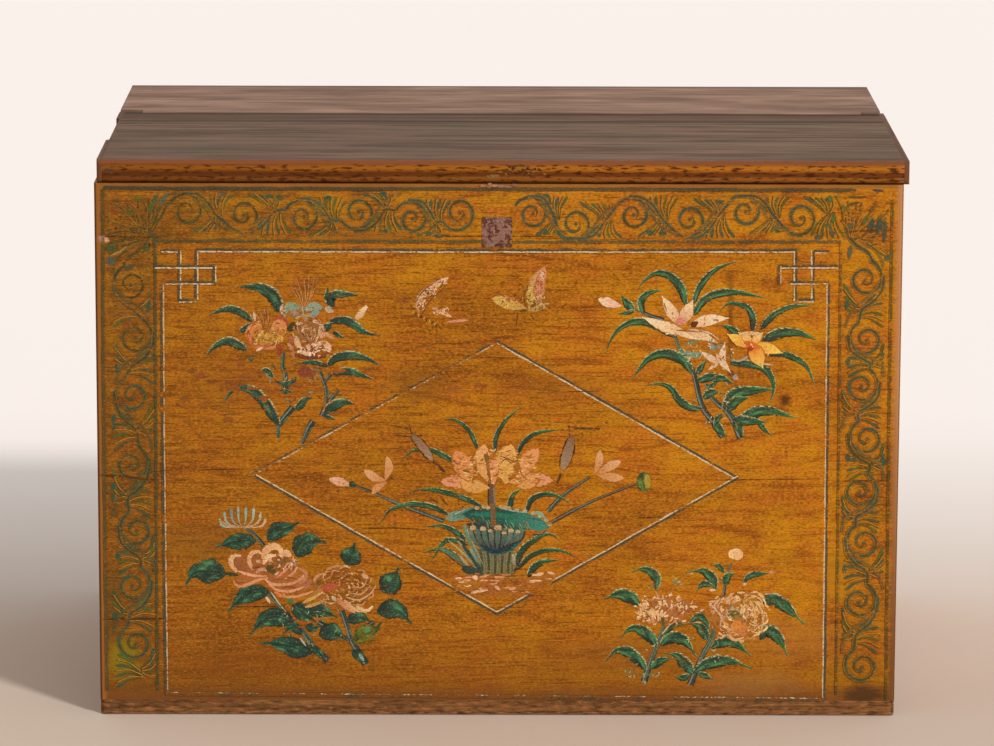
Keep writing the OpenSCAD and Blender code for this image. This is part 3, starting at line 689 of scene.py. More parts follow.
# corner fans: root, first and last angle in degrees and count, reach, wear and colours
PALMETTES = (
    ((148, 238), (64, 206, 44), 43, .3, ("#3f3c18", "#464a24")),
    ((849, 238), (-24, 112, 30), 41, .3, ("#443c18", "#3f4c2c")),
    ((131, 262), (-60, 60, 14), 22, .4, ("#3f3c18", "#424a24")))
CORNER_DROPS = (
    ([(869, 233), (873, 218)], 6.4, "#1f463c"), ([(877, 235), (881, 217)], 6.6, "#224a3a"),
    ([(884, 243), (885, 220)], 5, "#2a4e3c"), ([(833, 222), (834, 215)], 5.4, "#3c6a2c"),
    ([(845, 212), (843, 205)], 4, "#4c6a2c"), ([(825, 226), (831, 224)], 4.4, "#3c6030"),
    ([(863, 225), (868, 215)], 4, "#44602c"), ([(849, 259), (851, 245)], 4.6, "#3c5c48"),
    ([(886, 261), (889, 254)], 6.4, "#3c5a40"), ([(831, 202), (830, 195)], 4.6, "#4c6630"),
    ([(850, 230), (852, 222)], 5, "#4c5a38"), ([(836, 234), (829, 231)], 4.4, "#3c5048"),
    ([(872, 190), (884, 191)], 3, "#343c44"), ([(848, 197), (868, 197)], 2, "#4c4a20"),
    ([(847, 205), (860, 202)], 3, "#4c4a28"), ([(865, 242), (886, 257)], 1.6, "#4a4a24"),
    ([(105, 249), (119, 248)], 7, "#3c5430"), ([(107, 263), (115, 259)], 9, "#44584c"),
    ([(124, 268), (134, 267)], 5, "#3f4c40"), ([(126, 214), (133, 211)], 4.6, "#4a5a24"),
    ([(134, 199), (142, 199)], 4.6, "#4c6420"), ([(152, 205), (158, 193)], 4.6, "#3c5a40"),
    ([(150, 212), (152, 203)], 4, "#44602c"), ([(159, 205), (168, 193)], 4, "#4a6050"),
    ([(166, 205), (160, 219), (150, 224)], 2.4, "#3f4a20"), ([(148, 246), (145, 251)], 7, "#465426"),
    ([(153, 233), (155, 241)], 5, "#3c5434"), ([(110, 256), (119, 252), (127, 246)], 1.8, "#a88c4c"))
scrolls = Painting("border_scrolls")
scroll_band(scrolls, TOP_LEFT_SPIRALS, (1, 0), (0, -1), 1, border_wear, end=False)
scroll_band(scrolls, TOP_RIGHT_SPIRALS, (1, 0), (0, -1), 1, border_wear, start=False)
scroll_band(scrolls, LEFT_SPIRALS, (0, 1), (-1, 0), 1, border_wear)
scroll_band(scrolls, RIGHT_SPIRALS, (0, 1), (1, 0), 1, border_wear, end=False)
for root, spread, reach, wear, colours in PALMETTES:
    palmette(scrolls, root, spread, reach, wear, colours)
for points, width, tone in CORNER_DROPS:
    scrolls.stroke(points, width, tone, wear=.2, shape="oval", cells=9, cover=.88)
scrolls.done([line_paint])

BORDER_LINES = (
    ([(104, 187.5), (200, 188.4), (600, 189.3), (856, 190.3)], 3.4, "#263c32", .14, 80),
    ([(102.9, 189), (103.6, 400), (107, 690)], 3, "#44482a", .26, 60),
    ([(892.6, 200), (889.5, 400), (886, 700)], 2.8, "#3f4420", .36, 60),
    ([(153, 240.6), (480, 241.6), (841, 241.6)], 3.2, "#334a34", .3, 80),
    ([(155, 241), (156, 450), (157.6, 690)], 2.8, "#36462c", .24, 60),
    ([(841, 242), (839, 450), (836, 694)], 2.4, "#3f4628", .4, 60))
lines = Painting("border_lines")
for points, width, tone, worn, cells in BORDER_LINES:
    lines.stroke(points, width, tone, wear=worn, shape="line", cells=cells, cover=.8, shake=.25)
lines.done([line_paint])

# Frame line with its corner frets, and the diamond
SLATE, CHALK = "#34463c", "#dfcaa6"
# each fret is two loops of line that cross, here as straight pieces: their two ends, and the step from
# the slate line to the chalk one
FRET_LINES = (
    ((161, 250), (179, 250), (0, 1.8)), ((179, 250), (179, 300), (1.8, 0)),
    ((179, 300), (196, 300), (0, 1.8)), ((196, 300), (196, 250), (1.8, 0)),
    ((155, 266), (214, 266), (0, 1.8)), ((214, 266), (214, 282), (1.8, 0)),
    ((214, 282), (161.5, 282), (0, 1.8)), ((830, 251), (813.5, 251), (0, 1.8)),
    ((813.5, 251), (813.5, 301), (-1.8, 0)), ((813.5, 300), (796, 300), (0, 1.8)),
    ((796, 301), (796, 251), (-1.8, 0)), ((838, 266), (779, 266), (0, 1.8)),
    ((779, 266), (779, 284), (1.8, 0)), ((790, 282), (829, 282), (0, 1.8)))
# the frame's four sides: points, step to the chalk line, wear, cells and how well the chalk covers
FRAME_SIDES = (
    ([(196, 249.5), (497, 250), (797, 250)], (0, 2), .28, 80, .95),
    ([(161.5, 282), (163, 480), (166, 694)], (1.9, 0), .3, 60, .66),
    ([(829, 283), (827, 480), (824.5, 700)], (-1.9, 0), .3, 60, .8),
    ([(166, 694), (500, 697), (824.5, 700)], (0, -1.8), .55, 80, .95))
DIAMOND_CORNERS = (497, 341), (738, 478), (497, 614), (251, 474)


def double_line(painting, points, inward, wear=.3, cells=40, cover=.95):
    """A slate-green line with a chalk-white one beside it on the inner side."""
    ix, iy = inward
    painting.stroke(points, 2.7, SLATE, wear=wear, shape="line", slot=LINE, cells=cells, shake=.25,
                    cover=.88)
    moved = [(px + ix, py + iy) for px, py in points]
    painting.stroke(moved, 1.55, CHALK, wear=wear + .11, shape="line", slot=LINE, cells=cells, shake=.4,
                    cover=cover)


framing = Painting("frame_line")
for points, inward, wear, cells, cover in FRAME_SIDES:
    double_line(framing, points, inward, wear, cells, cover)
framing.done(PAINTS)

frets = Painting("fret_knots")
for start, end, aside in FRET_LINES:
    middle = ((start[0] + end[0]) / 2, (start[1] + end[1]) / 2)
    double_line(frets, [start, middle, end], aside, .3, 12)
frets.done(PAINTS)

diamond = Painting("diamond_line")
for k, (start, end) in enumerate(zip(DIAMOND_CORNERS, DIAMOND_CORNERS[1:] + DIAMOND_CORNERS[:1])):
    middle = ((start[0] + end[0]) / 2, (start[1] + end[1]) / 2)
    double_line(diamond, [start, middle, end], (0, 2.1 if k in (0, 3) else -2.1), .46 if k == 3 else .28)
diamond.done(PAINTS)


# Flowers
def leaves(painting, table, shape="blade", tip=GREEN, wear=.14, cells=18, slot=LEAF):
    """Leaves from a table of points, from root to tip, and greatest width."""
    for points, width in table:
        painting.stroke(points, width, TEAL, tip, wear=wear, shape=shape, slot=slot, cells=cells)


def stems(painting, table, root="#3a6052", tip="#1c3a3c"):
    """Stems from a table of points from the flower down and width, mottled grey between dark sides."""
    for points, width in table:
        painting.stroke(points, width + 1.2, root, tip, wear=.14, shape="stem", slot=LEAF, cells=20)
        beside = [(px - width * .22, py) for px, py in points]
        painting.stroke(beside, width * .26, "#70786a", "#7c8480", wear=.2, shape="stem", slot=LINE,
                        cells=20)


def touches(painting, table, shape="wave", wear=.2, cover=.95):
    """Single touches of thin paint from a table of points, width, and colour at root and tip."""
    for points, width, *tones in table:
        painting.stroke(points, width, *tones, wear=wear, shape=shape, slot=LINE, cells=9, cover=cover)


def curls(painting, centre, radii, count, tones, shade):
    """Many short curved touches round a flower's heart, each over a touch of shade."""
    (cx, cy), (rx, ry) = centre, radii
    length, width, inner = 8, 1.8, .1     # a touch in pixels, and the share of the radii that stays free
    hand = painting.hand
    for k in range(count):
        share = sqrt(inner ** 2 + (1 - inner ** 2) * (k + .5) / count)
        turn = k * GOLDEN_TURN + hand.uniform(-.3, .3)
        half = min(length * hand.uniform(.6, 1.2) / (share * (rx + ry)), 1.2)
        for inset, tone, size in ((.1, shade, width * 1.3), (0, hand.choice(tones), width)):
            arc = []
            for s in (-1, 0, 1):
                r = share * (1.06 if s == 0 else .97) - inset
                arc.append((cx + cos(turn + s * half) * rx * r, cy + sin(turn + s * half) * ry * r))
            painting.stroke(arc, size * hand.uniform(.75, 1.25), tone, wear=.3, shape="wave", slot=LINE,
                            cells=6, cover=.55 if inset else .88)


def dabs(painting, centre, radii, count, tones, length=4, width=2, wear=.3, lie=None):
    """Many short touches in an oval, each its own way or close to the angle in which they lie."""
    (cx, cy), (rx, ry) = centre, radii
    hand = painting.hand
    for _ in range(count):
        turn, far = hand.uniform(0, tau), sqrt(hand.random())
        px, py = cx + cos(turn) * far * rx, cy + sin(turn) * far * ry
        way = hand.uniform(0, pi) if lie is None else turn + pi / 2 + lie * hand.uniform(-1, 1)
        half = length * hand.uniform(.35, .7)
        ax, ay = cos(way) * half, sin(way) * half
        painting.stroke([(px - ax, py - ay), (px + ay * .3, py - ax * .3), (px + ax, py + ay)],
                        width * hand.uniform(.6, 1.3), hand.choice(tones), wear=wear, shape="wave",
                        slot=LINE, cells=6, cover=.9)


def petals(painting, table, wear, shape="petal"):
    """Petals from a table of points from the heart to the tip, width, and colour at root and tip."""
    for points, width, *tones in table:
        painting.stroke(points, width, *tones, wear=wear, shape=shape, slot=PETAL, cells=14)


# Lilies, upper right
lilies = Painting("lilies_top_right")
LILY_STEMS = (
    ([(675, 336), (680, 350), (688, 362), (694, 374), (700, 400), (706, 413), (715, 424), (723, 437)], 6),
    ([(706, 384), (711, 396), (718, 404), (725, 409), (733, 420), (741, 438)], 7),
    ([(628, 307), (640, 311), (652, 316), (664, 320)], 3.5))
stems(lilies, LILY_STEMS)
LILY_LEAVES = (
    ([(686, 305), (681, 288), (670, 276), (657, 273), (646, 279), (637, 290)], 9.5),
    ([(693, 304), (700, 286), (712, 272), (725, 265), (740, 261)], 7),
    ([(694, 315), (703, 301), (716, 294), (733, 292), (752, 295), (770, 299)], 9),
    ([(643, 314), (641, 301), (647, 294), (656, 291), (665, 291)], 8),
    ([(675, 337), (660, 328), (645, 322), (632, 322), (619, 329), (610, 341), (606, 353)], 8.5),
    ([(692, 372), (684, 361), (673, 355), (660, 354), (648, 359), (637, 372), (632, 381)], 11),
    ([(702, 409), (689, 407), (678, 399), (671, 388), (660, 384), (644, 385)], 8.5),
    ([(753, 332), (753, 318), (748, 308), (738, 304), (727, 304), (719, 313)], 7.5),
    ([(761, 329), (769, 319), (780, 311), (793, 306), (813, 305)], 7.5),
    ([(763, 341), (773, 335), (786, 332), (800, 333), (818, 340)], 11),
    ([(768, 355), (782, 354), (797, 359), (808, 369), (816, 388)], 7),
    ([(730, 363), (748, 364), (765, 369), (773, 381), (773, 394), (768, 407)], 8.5),
    ([(697, 374), (701, 367), (707, 360)], 7), ([(698, 381), (710, 377), (722, 378), (735, 385)], 9),
    ([(725, 410), (730, 398), (740, 392), (756, 390), (777, 389)], 13),
    ([(738, 425), (748, 415), (762, 411), (776, 412), (799, 419)], 12),
    ([(757, 421), (765, 430), (773, 437)], 5.5), ([(741, 336), (730, 328), (719, 325)], 7.5),
    ([(633, 311), (627, 303), (621, 295)], 9.5), ([(634, 311), (626, 313), (617, 314)], 5),
    ([(708, 390), (715, 383), (721, 380)], 5), ([(714, 421), (720, 430), (727, 438)], 10),
    ([(736, 417), (739, 427), (744, 438)], 10), ([(722, 414), (716, 421), (714, 429)], 6),
    ([(728, 410), (736, 401), (750, 397)], 11), ([(733, 420), (748, 421), (768, 422)], 11),
    ([(703, 398), (712, 392), (724, 394)], 9), ([(712, 380), (722, 378), (733, 383)], 8))
leaves(lilies, LILY_LEAVES, slot=RIMMED)
LILY_SEPALS = (
    ([(683, 352), (695, 355), (707, 353)], 6, "#6f9a7e", "#7fa084"),
    ([(684, 346), (690, 343), (700, 341)], 4, "#5f8a6c", "#7a8a58"),
    ([(728, 358), (739, 361), (748, 356), (752, 349)], 2, "#a8a088", "#b8a890"),
    ([(709, 343), (714, 348), (721, 345)], 5, "#7a9a8c", "#8ca494"),
    ([(733, 376), (738, 379)], 5, "#9c9a94", "#b8aca0"), ([(729, 371), (733, 376)], 8, "#84482a", "#7a3c20"))
touches(lilies, LILY_SEPALS)
LILY_PETALS = (
    ([(680, 324), (671, 311), (662, 296)], 13, "#e8a878", "#ffecc0"),
    ([(682, 324), (687, 312), (693, 300)], 14, "#e49c7c", "#ffe8b4"),
    ([(686, 333), (666, 327), (642, 317)], 12, "#f4c08c", "#ffecc0"),
    ([(690, 326), (708, 320), (729, 318)], 13, "#f4c494", "#ffe8bc"),
    ([(680, 332), (700, 335), (718, 343)], 11, "#e0b078", "#fcdcae"),
    ([(673, 331), (686, 335), (700, 340)], 6, "#f0c490", "#fcdcae"),
    ([(724, 370), (722, 357), (725, 342)], 8, "#dcb084", "#fce0bc"),
    ([(723, 364), (712, 359), (699, 350)], 7, "#d8a87c", "#fce0bc"),
    ([(716, 354), (723, 363), (731, 373)], 7, "#e0b488", "#fcdcb4"),
    ([(719, 362), (714, 366), (708, 370)], 5, "#d8a87c", "#f4d4a8"),
    ([(752, 345), (741, 341), (727, 334)], 13, "#f09438", "#ffd45c"),
    ([(753, 346), (767, 348), (783, 353)], 13, "#f4a03c", "#ffd860"),
    ([(752, 344), (757, 355), (763, 368)], 17, "#ec8432", "#ffd05c"),
    ([(752, 345), (747, 338), (738, 332)], 9, "#f0a850", "#ffdc90"),
    ([(753, 345), (757, 338), (763, 332)], 9, "#f0a850", "#ffdc90"))
petals(lilies, LILY_PETALS, .18, "point")
LILY_MARKS = (
    ([(676, 321), (686, 322)], 8, "#dc8470", "#e0947c"),
    ([(691, 326), (698, 322)], 6, "#4a2418", "#6e3a20"),
    ([(744, 343), (752, 345), (760, 348)], 7, "#d8601c", "#e07c30"),
    ([(752, 343), (755, 354)], 5, "#d8601c", "#e8883c"),
    ([(739, 335), (750, 333), (762, 334)], 5, "#e8b478", "#eec088"),
    ([(748, 349), (753, 348)], 5, "#a83c1c", "#a04424"),
    ([(758, 365), (765, 364), (773, 365)], 2, "#dcb88c", "#e4bc90"),
    ([(676, 330), (690, 331), (702, 332)], 1.6, "#8a5230", "#9a6038"),
    ([(700, 330), (710, 333), (718, 339)], 1.5, "#ecc8a0"), ([(664, 303), (667, 312)], 1.6, "#a87040"),
    ([(713, 320), (719, 320)], 1.6, "#a87848"), ([(752, 319), (753, 331)], 3, "#3a3430", "#4a4038"))
touches(lilies, LILY_MARKS)
LILY_BUD = [(622, 306), (610, 303), (598, 299)]
lilies.stroke(LILY_BUD, 11, "#f0b898", "#ffe0b8", wear=.2, shape="petal", slot=PETAL)
LILY_DABS = (
    ((720, 352), (20, 14), 36, ("#fce4c0", "#9a7048", "#8fa48c", "#7a4c2c")),
    ((752, 345), (22, 14), 14, ("#ffd478", "#b8542c", "#ffe49c")),
    ((684, 324), (36, 14), 16, ("#fff0d0", "#c88c5c")),
    ((718, 404), (26, 22), 14, ("#8fb090", "#2f6a50", "#c8c8a0", "#1c4c48")),
    ((690, 352), (12, 12), 16, ("#a8bc9c", "#e8cca4")))
for at, radii, count, tones in LILY_DABS:
    dabs(lilies, at, radii, count, tones, 3.4, 1.2, .34)
lilies.done(PAINTS)

# Peonies, lower left
peonies = Painting("peonies_bottom_left")
PEONY_STEMS = (
    ([(245, 528), (255, 535), (264, 546)], 3.5),
    ([(269, 594), (280, 606), (292, 622), (303, 632), (314, 648), (328, 660)], 6.5),
    ([(338, 600), (346, 622), (352, 641), (366, 664)], 7), ([(350, 640), (333, 630), (318, 622)], 4),
    ([(352, 640), (362, 630), (374, 622)], 4))
stems(peonies, PEONY_STEMS)
PEONY_LEAVES = (
    ([(256, 541), (242, 541), (229, 543), (216, 547)], 18),
    ([(268, 541), (277, 531), (287, 528), (300, 522)], 18),
    ([(297, 557), (303, 546), (312, 541), (326, 542)], 23), ([(347, 565), (351, 556), (355, 543)], 23),
    ([(381, 591), (391, 582), (399, 568)], 24), ([(226, 574), (208, 571), (194, 573), (186, 584)], 25),
    ([(269, 592), (251, 593), (239, 600), (228, 611)], 19),
    ([(294, 622), (276, 617), (262, 621), (250, 635)], 21),
    ([(312, 653), (296, 648), (280, 644), (261, 643)], 21), ([(292, 605), (301, 611), (316, 622)], 18),
    ([(307, 612), (322, 611), (338, 618)], 14), ([(319, 635), (332, 632), (347, 640)], 19),
    ([(347, 621), (359, 617), (372, 622)], 14), ([(377, 612), (392, 609), (402, 613), (411, 624)], 21),
    ([(302, 634), (292, 627), (283, 634)], 10), ([(305, 626), (313, 628), (321, 626)], 9),
    ([(309, 645), (317, 651), (326, 660)], 9), ([(352, 650), (359, 656), (368, 664)], 10))
leaves(peonies, PEONY_LEAVES, "leaf", tip="#1f6048", cells=20)
PEONY_LEAF_VEIN = (([(238, 575), (230, 574), (222, 573)], 4, "#1c3a2c", "#1c4430"),)
touches(peonies, PEONY_LEAF_VEIN)
YELLOW_LEAF = [(354, 643), (364, 635), (374, 631), (382, 622)]
GREEN_SPOT = [(289, 603), (291, 598)]
peonies.stroke(YELLOW_LEAF, 23, "#6a7a20", "#4a6a28", wear=.36, slot=LEAF)
peonies.stroke(GREEN_SPOT, 8, GREEN, wear=.25, shape="oval", slot=LINE, cells=8)
PEONY_CROWN = (
    ((219, 517), "#a8bca0"), ((224, 511), "#8cb0a8"), ((231, 508), "#5f9098"), ((238, 506), "#9cb8a8"),
    ((246, 507), "#8cb0a8"), ((254, 507), "#b0c0a8"), ((261, 511), "#c0bca0"), ((266, 517), "#e4b080"))
for tip, tone in PEONY_CROWN:
    bend = ((243 + tip[0]) / 2 + (tip[0] - 243) * .32, (527 + tip[1]) / 2 + 4)
    peonies.stroke([(243, 528), bend, tip], 7, "#5c5a38", "#5a6450", wear=.3, shape="drop", slot=LINE)
    peonies.stroke([(243, 528), bend, tip], 5, "#b0a880", tone, wear=.34, shape="drop", slot=LINE)
PEONY_MARKS = (
    ([(222, 522), (232, 527), (243, 527)], 2.2, "#c89468"),
    ([(243, 527), (254, 525), (262, 517)], 2.2, "#c8905c", "#d8a070"),
    ([(271, 592), (278, 602), (286, 612)], 1.4, "#cfc0a0", "#c0b490"),
    ([(266, 597), (270, 603)], 3, "#d8c8a8"), ([(300, 638), (306, 646)], 2, "#b8c0a4"),
    ([(359, 654), (364, 661)], 3, "#8fa494", "#9cac9c"))
touches(peonies, PEONY_MARKS)
PEONY_GROUND = (
    ([(240, 566), (264, 566), (292, 572)], 26, "#a46038", "#a8643c"),
    ([(266, 583), (288, 582), (312, 580)], 27, "#a8643c", "#b06a42"),
    ([(234, 579), (250, 579), (268, 577)], 12, "#b4693c", "#ac643a"))
touches(peonies, PEONY_GROUND, "oval", .35, .7)
PEONY_PETALS = (
    ([(237, 572), (231, 564), (233, 556), (241, 556)], 5.5, "#dca070", "#f0c090"),
    ([(243, 569), (237, 565), (240, 559), (248, 562)], 6, "#96583a", "#a8683e"),
    ([(253, 570), (249, 561), (252, 553), (260, 552), (263, 557)], 4.5, "#d89c6c", "#f0bc8c"),
    ([(256, 561), (262, 562)], 4, "#d8a880", "#c08a60"),
    ([(263, 559), (266, 551), (273, 546), (281, 550), (281, 557)], 8, "#dca070", "#f8c890"),
    ([(263, 564), (268, 557), (276, 555)], 5.5, "#f4c48c", "#fccc9c"),
    ([(282, 555), (286, 553), (291, 556)], 7.5, "#e0a878", "#f4c494"),
    ([(256, 573), (262, 569), (268, 571)], 4, "#c98a66", "#d6a07c"),
    ([(252, 568), (262, 566)], 2.5, "#7a4628"),
    ([(267, 566), (271, 569), (275, 573)], 9, "#4f4420", "#564a24"),
    ([(277, 563), (284, 561), (292, 567)], 9, "#84552e", "#8c5c34"),
    ([(277, 558), (280, 561)], 2.4, "#e4c4a4", "#dcb894"),
    ([(279, 565), (280, 568)], 2.2, "#e4c0a0", "#dcb894"),
    ([(275, 575), (279, 572)], 2.4, "#e0b898", "#d8ac88"), ([(269, 562), (272, 560)], 2, "#d8b088"),
    ([(284, 569), (288, 563), (291, 566)], 2, "#d8a878", "#d0986c"),
    ([(293, 561), (296, 566)], 4.5, "#b48c84", "#b08070"),
    ([(276, 578), (285, 571), (291, 564)], 3, "#d87860", "#eca880"),
    ([(283, 580), (292, 574), (298, 567)], 3, "#c87c54", "#e8a87c"),
    ([(293, 583), (303, 577), (306, 570)], 3.4, "#c87c54", "#f0b084"),
    ([(299, 568), (306, 573), (304, 581), (297, 586)], 4, "#c98660", "#bc7850"),
    ([(264, 578), (272, 584), (290, 584), (306, 578)], 3, "#eca87c", "#d08860"),
    ([(268, 583), (277, 590), (292, 591), (310, 584)], 3, "#e09c70", "#e8a478"),
    ([(274, 592), (288, 597), (303, 595), (318, 589)], 3, "#d88c60", "#e8a47c"),
    ([(281, 587), (296, 587)], 2, "#8a4a2a"), ([(286, 577), (297, 579)], 2, "#8e4e2c"),
    ([(304, 588), (312, 580)], 5, "#b87058", "#b06850"),
    ([(238, 571), (247, 574), (257, 576), (267, 576)], 3, "#f0b48c", "#e09c70"),
    ([(233, 580), (237, 586), (247, 585), (258, 580), (268, 578)], 3.6, "#d4885c", "#e8a074"),
    ([(276, 590), (280, 596), (286, 592)], 4, "#e08048", "#d87c4c"))
touches(peonies, PEONY_PETALS)
SECOND_PEONY_GROUND = (([(312, 589), (342, 588), (374, 590)], 44, "#9c5f34", "#96592c"),)
touches(peonies, SECOND_PEONY_GROUND, "oval", .35, .7)
SECOND_PEONY = (346, 587), (29, 20)      # middle and half size
curls(peonies, *SECOND_PEONY, 80, ("#e0ac6c", "#f0c488", "#c08a50", "#dc9468", "#d49860"), shade="#6e3a18")
SECOND_PEONY_PETALS = (
    ([(303, 603), (312, 598), (323, 592)], 4, "#c89850", "#e4b870"),
    ([(305, 607), (316, 604), (329, 598)], 3.4, "#cda464", "#b98a4c"),
    ([(309, 597), (318, 591), (325, 588)], 4.5, "#a8702c", "#b8803c"),
    ([(314, 583), (316, 577), (324, 573)], 3, "#c98c58", "#d8a870"),
    ([(326, 570), (336, 566), (345, 567)], 2.6, "#c9925c", "#b88868"),
    ([(318, 584), (322, 580)], 6, "#6a4c1c", "#74501e"),
    ([(337, 598), (346, 607), (355, 613)], 4.4, "#c88050", "#e4a078"),
    ([(344, 600), (354, 609), (367, 612)], 4, "#cf9868", "#f0c488"),
    ([(356, 606), (366, 611), (373, 606)], 5, "#dcb478", "#f4d098"),
    ([(322, 590), (329, 587), (338, 586)], 8, "#b8503a", "#b85a42"),
    ([(346, 597), (358, 600), (370, 594), (376, 585)], 2, "#d0a070", "#dcb488"),
    ([(350, 593), (361, 594), (370, 586)], 1.8, "#c99464", "#d8a878"),
    ([(352, 587), (362, 587), (367, 580)], 1.8, "#c99464", "#d8a878"),
    ([(362, 574), (368, 579)], 5, "#cf9868", "#e4b890"), ([(332, 596), (336, 601)], 4, "#cfc09c", "#b8a880"))
touches(peonies, SECOND_PEONY_PETALS)
PEONY_DABS = (
    ((310, 625), (34, 26), 36, ("#9cb094", "#3f7a60", "#1c4c44", "#7c9c84"), 3, 1.3, .2),
    ((283, 563), (16, 9), 34, ("#fcdcb4", "#e8b484", "#7c4424", "#8c5430"), 3.4, 1.3, .2))
for dab in PEONY_DABS:
    dabs(peonies, *dab)
peonies.done(PAINTS)

# Roses, upper left, much of them worn away
roses = Painting("roses_top_left")
ROSE_STEMS = (
    ([(284, 352), (282.5, 364), (285.6, 376), (285.6, 390)], 5),
    ([(278, 438), (279.5, 425), (293, 407)], 6), ([(318, 367), (325, 385), (327, 401), (322, 416)], 5),
    ([(325, 382), (331, 374)], 4), ([(339, 390), (330, 401)], 4), ([(302, 444), (308, 430), (313, 421)], 6))
stems(roses, ROSE_STEMS)
ROSE_LEAVES = (
    ([(278, 312), (276, 300), (268, 291), (255, 287), (237, 287)], 14),
    ([(333, 307), (330, 297), (342, 294), (360, 296)], 11), ([(326, 300), (328, 286)], 5),
    ([(252, 321), (241, 312), (226, 309), (207, 316)], 9),
    ([(247, 350), (229, 341), (214, 347), (205, 358)], 10), ([(240, 332), (252, 322)], 6),
    ([(249, 361), (255, 353)], 6), ([(330, 321), (348, 321), (364, 332), (382, 336)], 10),
    ([(322, 330), (334, 322)], 9), ([(333, 332), (345, 339)], 5),
    ([(328, 366), (336, 358), (353, 355), (368, 359), (382, 367)], 10),
    ([(328, 366), (310, 362), (293, 365)], 6), ([(333, 374), (348, 371), (364, 376), (375, 380)], 9),
    ([(273, 377), (266, 370), (256, 374)], 6), ([(296, 380), (284, 384), (273, 379)], 6),
    ([(280, 391), (294, 392)], 6), ([(279, 425), (262, 399), (247, 388), (233, 390), (222, 405)], 12),
    ([(296, 410), (306, 399), (314, 398)], 9), ([(325, 415), (332, 407), (343, 402), (357, 405)], 12),
    ([(325, 416), (337, 420)], 5))
leaves(roses, ROSE_LEAVES, slot=RIMMED, tip="#1f6650", wear=.24)
ROSE_GROUND = (
    ([(246, 334), (264, 335), (286, 334)], 25, "#cf8440", "#c98838"),
    ([(297, 331), (323, 330)], 25, "#94603a", "#9c6840"))
touches(roses, ROSE_GROUND, "oval", .22, .85)
ROSE_MARKS = (
    ([(257, 336), (268, 338), (281, 337)], 11, "#cc9c44", "#c89440"),
    ([(250, 342), (248, 333), (253, 326), (262, 324)], 6, "#cf6a3c", "#e09c5c"),
    ([(249, 343), (258, 347), (270, 346), (278, 342)], 5, "#c4603a", "#dc8c60"),
    ([(272, 327), (280, 325), (288, 328)], 13, "#dc9458", "#d8884c"),
    ([(272, 322), (279, 317), (286, 321), (289, 330)], 3.5, "#b8543a", "#a43e28"),
    ([(254, 312), (255, 321)], 3, "#dcbc98"),
    ([(278, 345), (280, 350), (279, 356)], 6, "#a8452c", "#963e28"),
    ([(256, 351), (263, 347)], 3, "#e4bc94", "#ecc8a0"),
    ([(261, 345), (269, 348), (276, 347)], 4, "#cf7c54", "#dc9068"),
    ([(288, 331), (294, 326), (300, 329)], 9, "#343820", "#4a4424"),
    ([(295, 324), (304, 324)], 2.2, "#d07a2c", "#c87028"),
    ([(316, 342), (319, 332), (321, 322)], 2.2, "#e4b890", "#dcb084"),
    ([(285, 309), (292, 306), (299, 308)], 9, "#8fa380", "#7f9a84"),
    ([(305, 309), (313, 306), (322, 308)], 9, "#98ac8c", "#86a090"),
    ([(312, 315), (319, 311)], 7, "#7e9a90", "#889c8c"),
    ([(291, 313), (299, 314)], 6, "#9a8078", "#a08878"),
    ([(325, 308), (333, 312)], 6, "#b0ac8c", "#c8ac90"),
    ([(281, 306), (282, 314)], 3.4, "#e0c0a0", "#dcb898"),
    ([(296, 319), (300, 316), (310, 316), (316, 319)], 2.4, "#c09870", "#b48c68"),
    ([(356, 319), (362, 312), (367, 306)], 7, "#d8a478", "#f8dcb4"),
    ([(298, 373), (307, 372), (316, 373)], 11, "#86402a", "#8c4630"))
touches(roses, ROSE_MARKS)
ROSE_HEART_DABS = (
    ((309, 331), (15, 13), 80, ("#b8845c", "#d8a880", "#a06840", "#ecc8a0", "#5c3018"), 5, 1.7, .3, .7),
    ((266, 334), (20, 13), 60, ("#d88c54", "#c86c3c", "#e4ac6c", "#b85834", "#8a4a24"), 5, 1.8, .3, .8),
    ((269, 338), (13, 7), 36, ("#e0b050", "#e8c468", "#cf9a40", "#a87030"), 5, 1.8, .3, .8))
for dab in ROSE_HEART_DABS:
    dabs(roses, *dab)
ROSE_PETALS = (
    ([(293, 354), (308, 358), (326, 357)], 4, "#7c3c20", "#6e3218"),
    ([(296, 336), (298, 345), (303, 352)], 5.5, "#d8a67c", "#ecc49c"),
    ([(299, 350), (308, 352), (315, 355)], 8, "#e4b890", "#f0cba6"),
    ([(306, 347), (317, 345), (325, 340)], 6, "#e0b088", "#ecc49c"),
    ([(322, 341), (328, 347), (327, 355)], 7.5, "#e4b48c", "#ecc29c"),
    ([(313, 351), (320, 353), (325, 350)], 4.5, "#c0845c", "#d09870"),
    ([(320, 338), (326, 334), (334, 339)], 4.5, "#d8a078", "#c89068"),
    ([(288, 343), (292, 350), (294, 359)], 4.5, "#cd9068", "#b0704a"),
    ([(290, 337), (293, 343)], 6, "#b46850", "#a86048"))
touches(roses, ROSE_PETALS)
ROSE_SPRAYS = (
    ((304, 311), ((285, 279), (291, 280), (296, 277), (304, 280), (309, 276), (314, 280), (318, 277))),
    ((265, 334), ((254, 311), (259, 308), (264, 307), (268, 311), (272, 318))),
    ((310, 345), ((304, 330), (311, 328), (316, 330))))
for root, tips in ROSE_SPRAYS:
    for tip in tips:
        middle = ((root[0] + tip[0]) / 2 + 1.5, (root[1] + tip[1]) / 2)
        for slip, tone in ((0, "#d0a070"), (1.3, "#7c4a24")):
            roses.stroke([root, (middle[0] + slip, middle[1]), (tip[0] + slip, tip[1])], 1, tone, wear=.46,
                         shape="line", slot=LINE, cells=8, cover=.75)
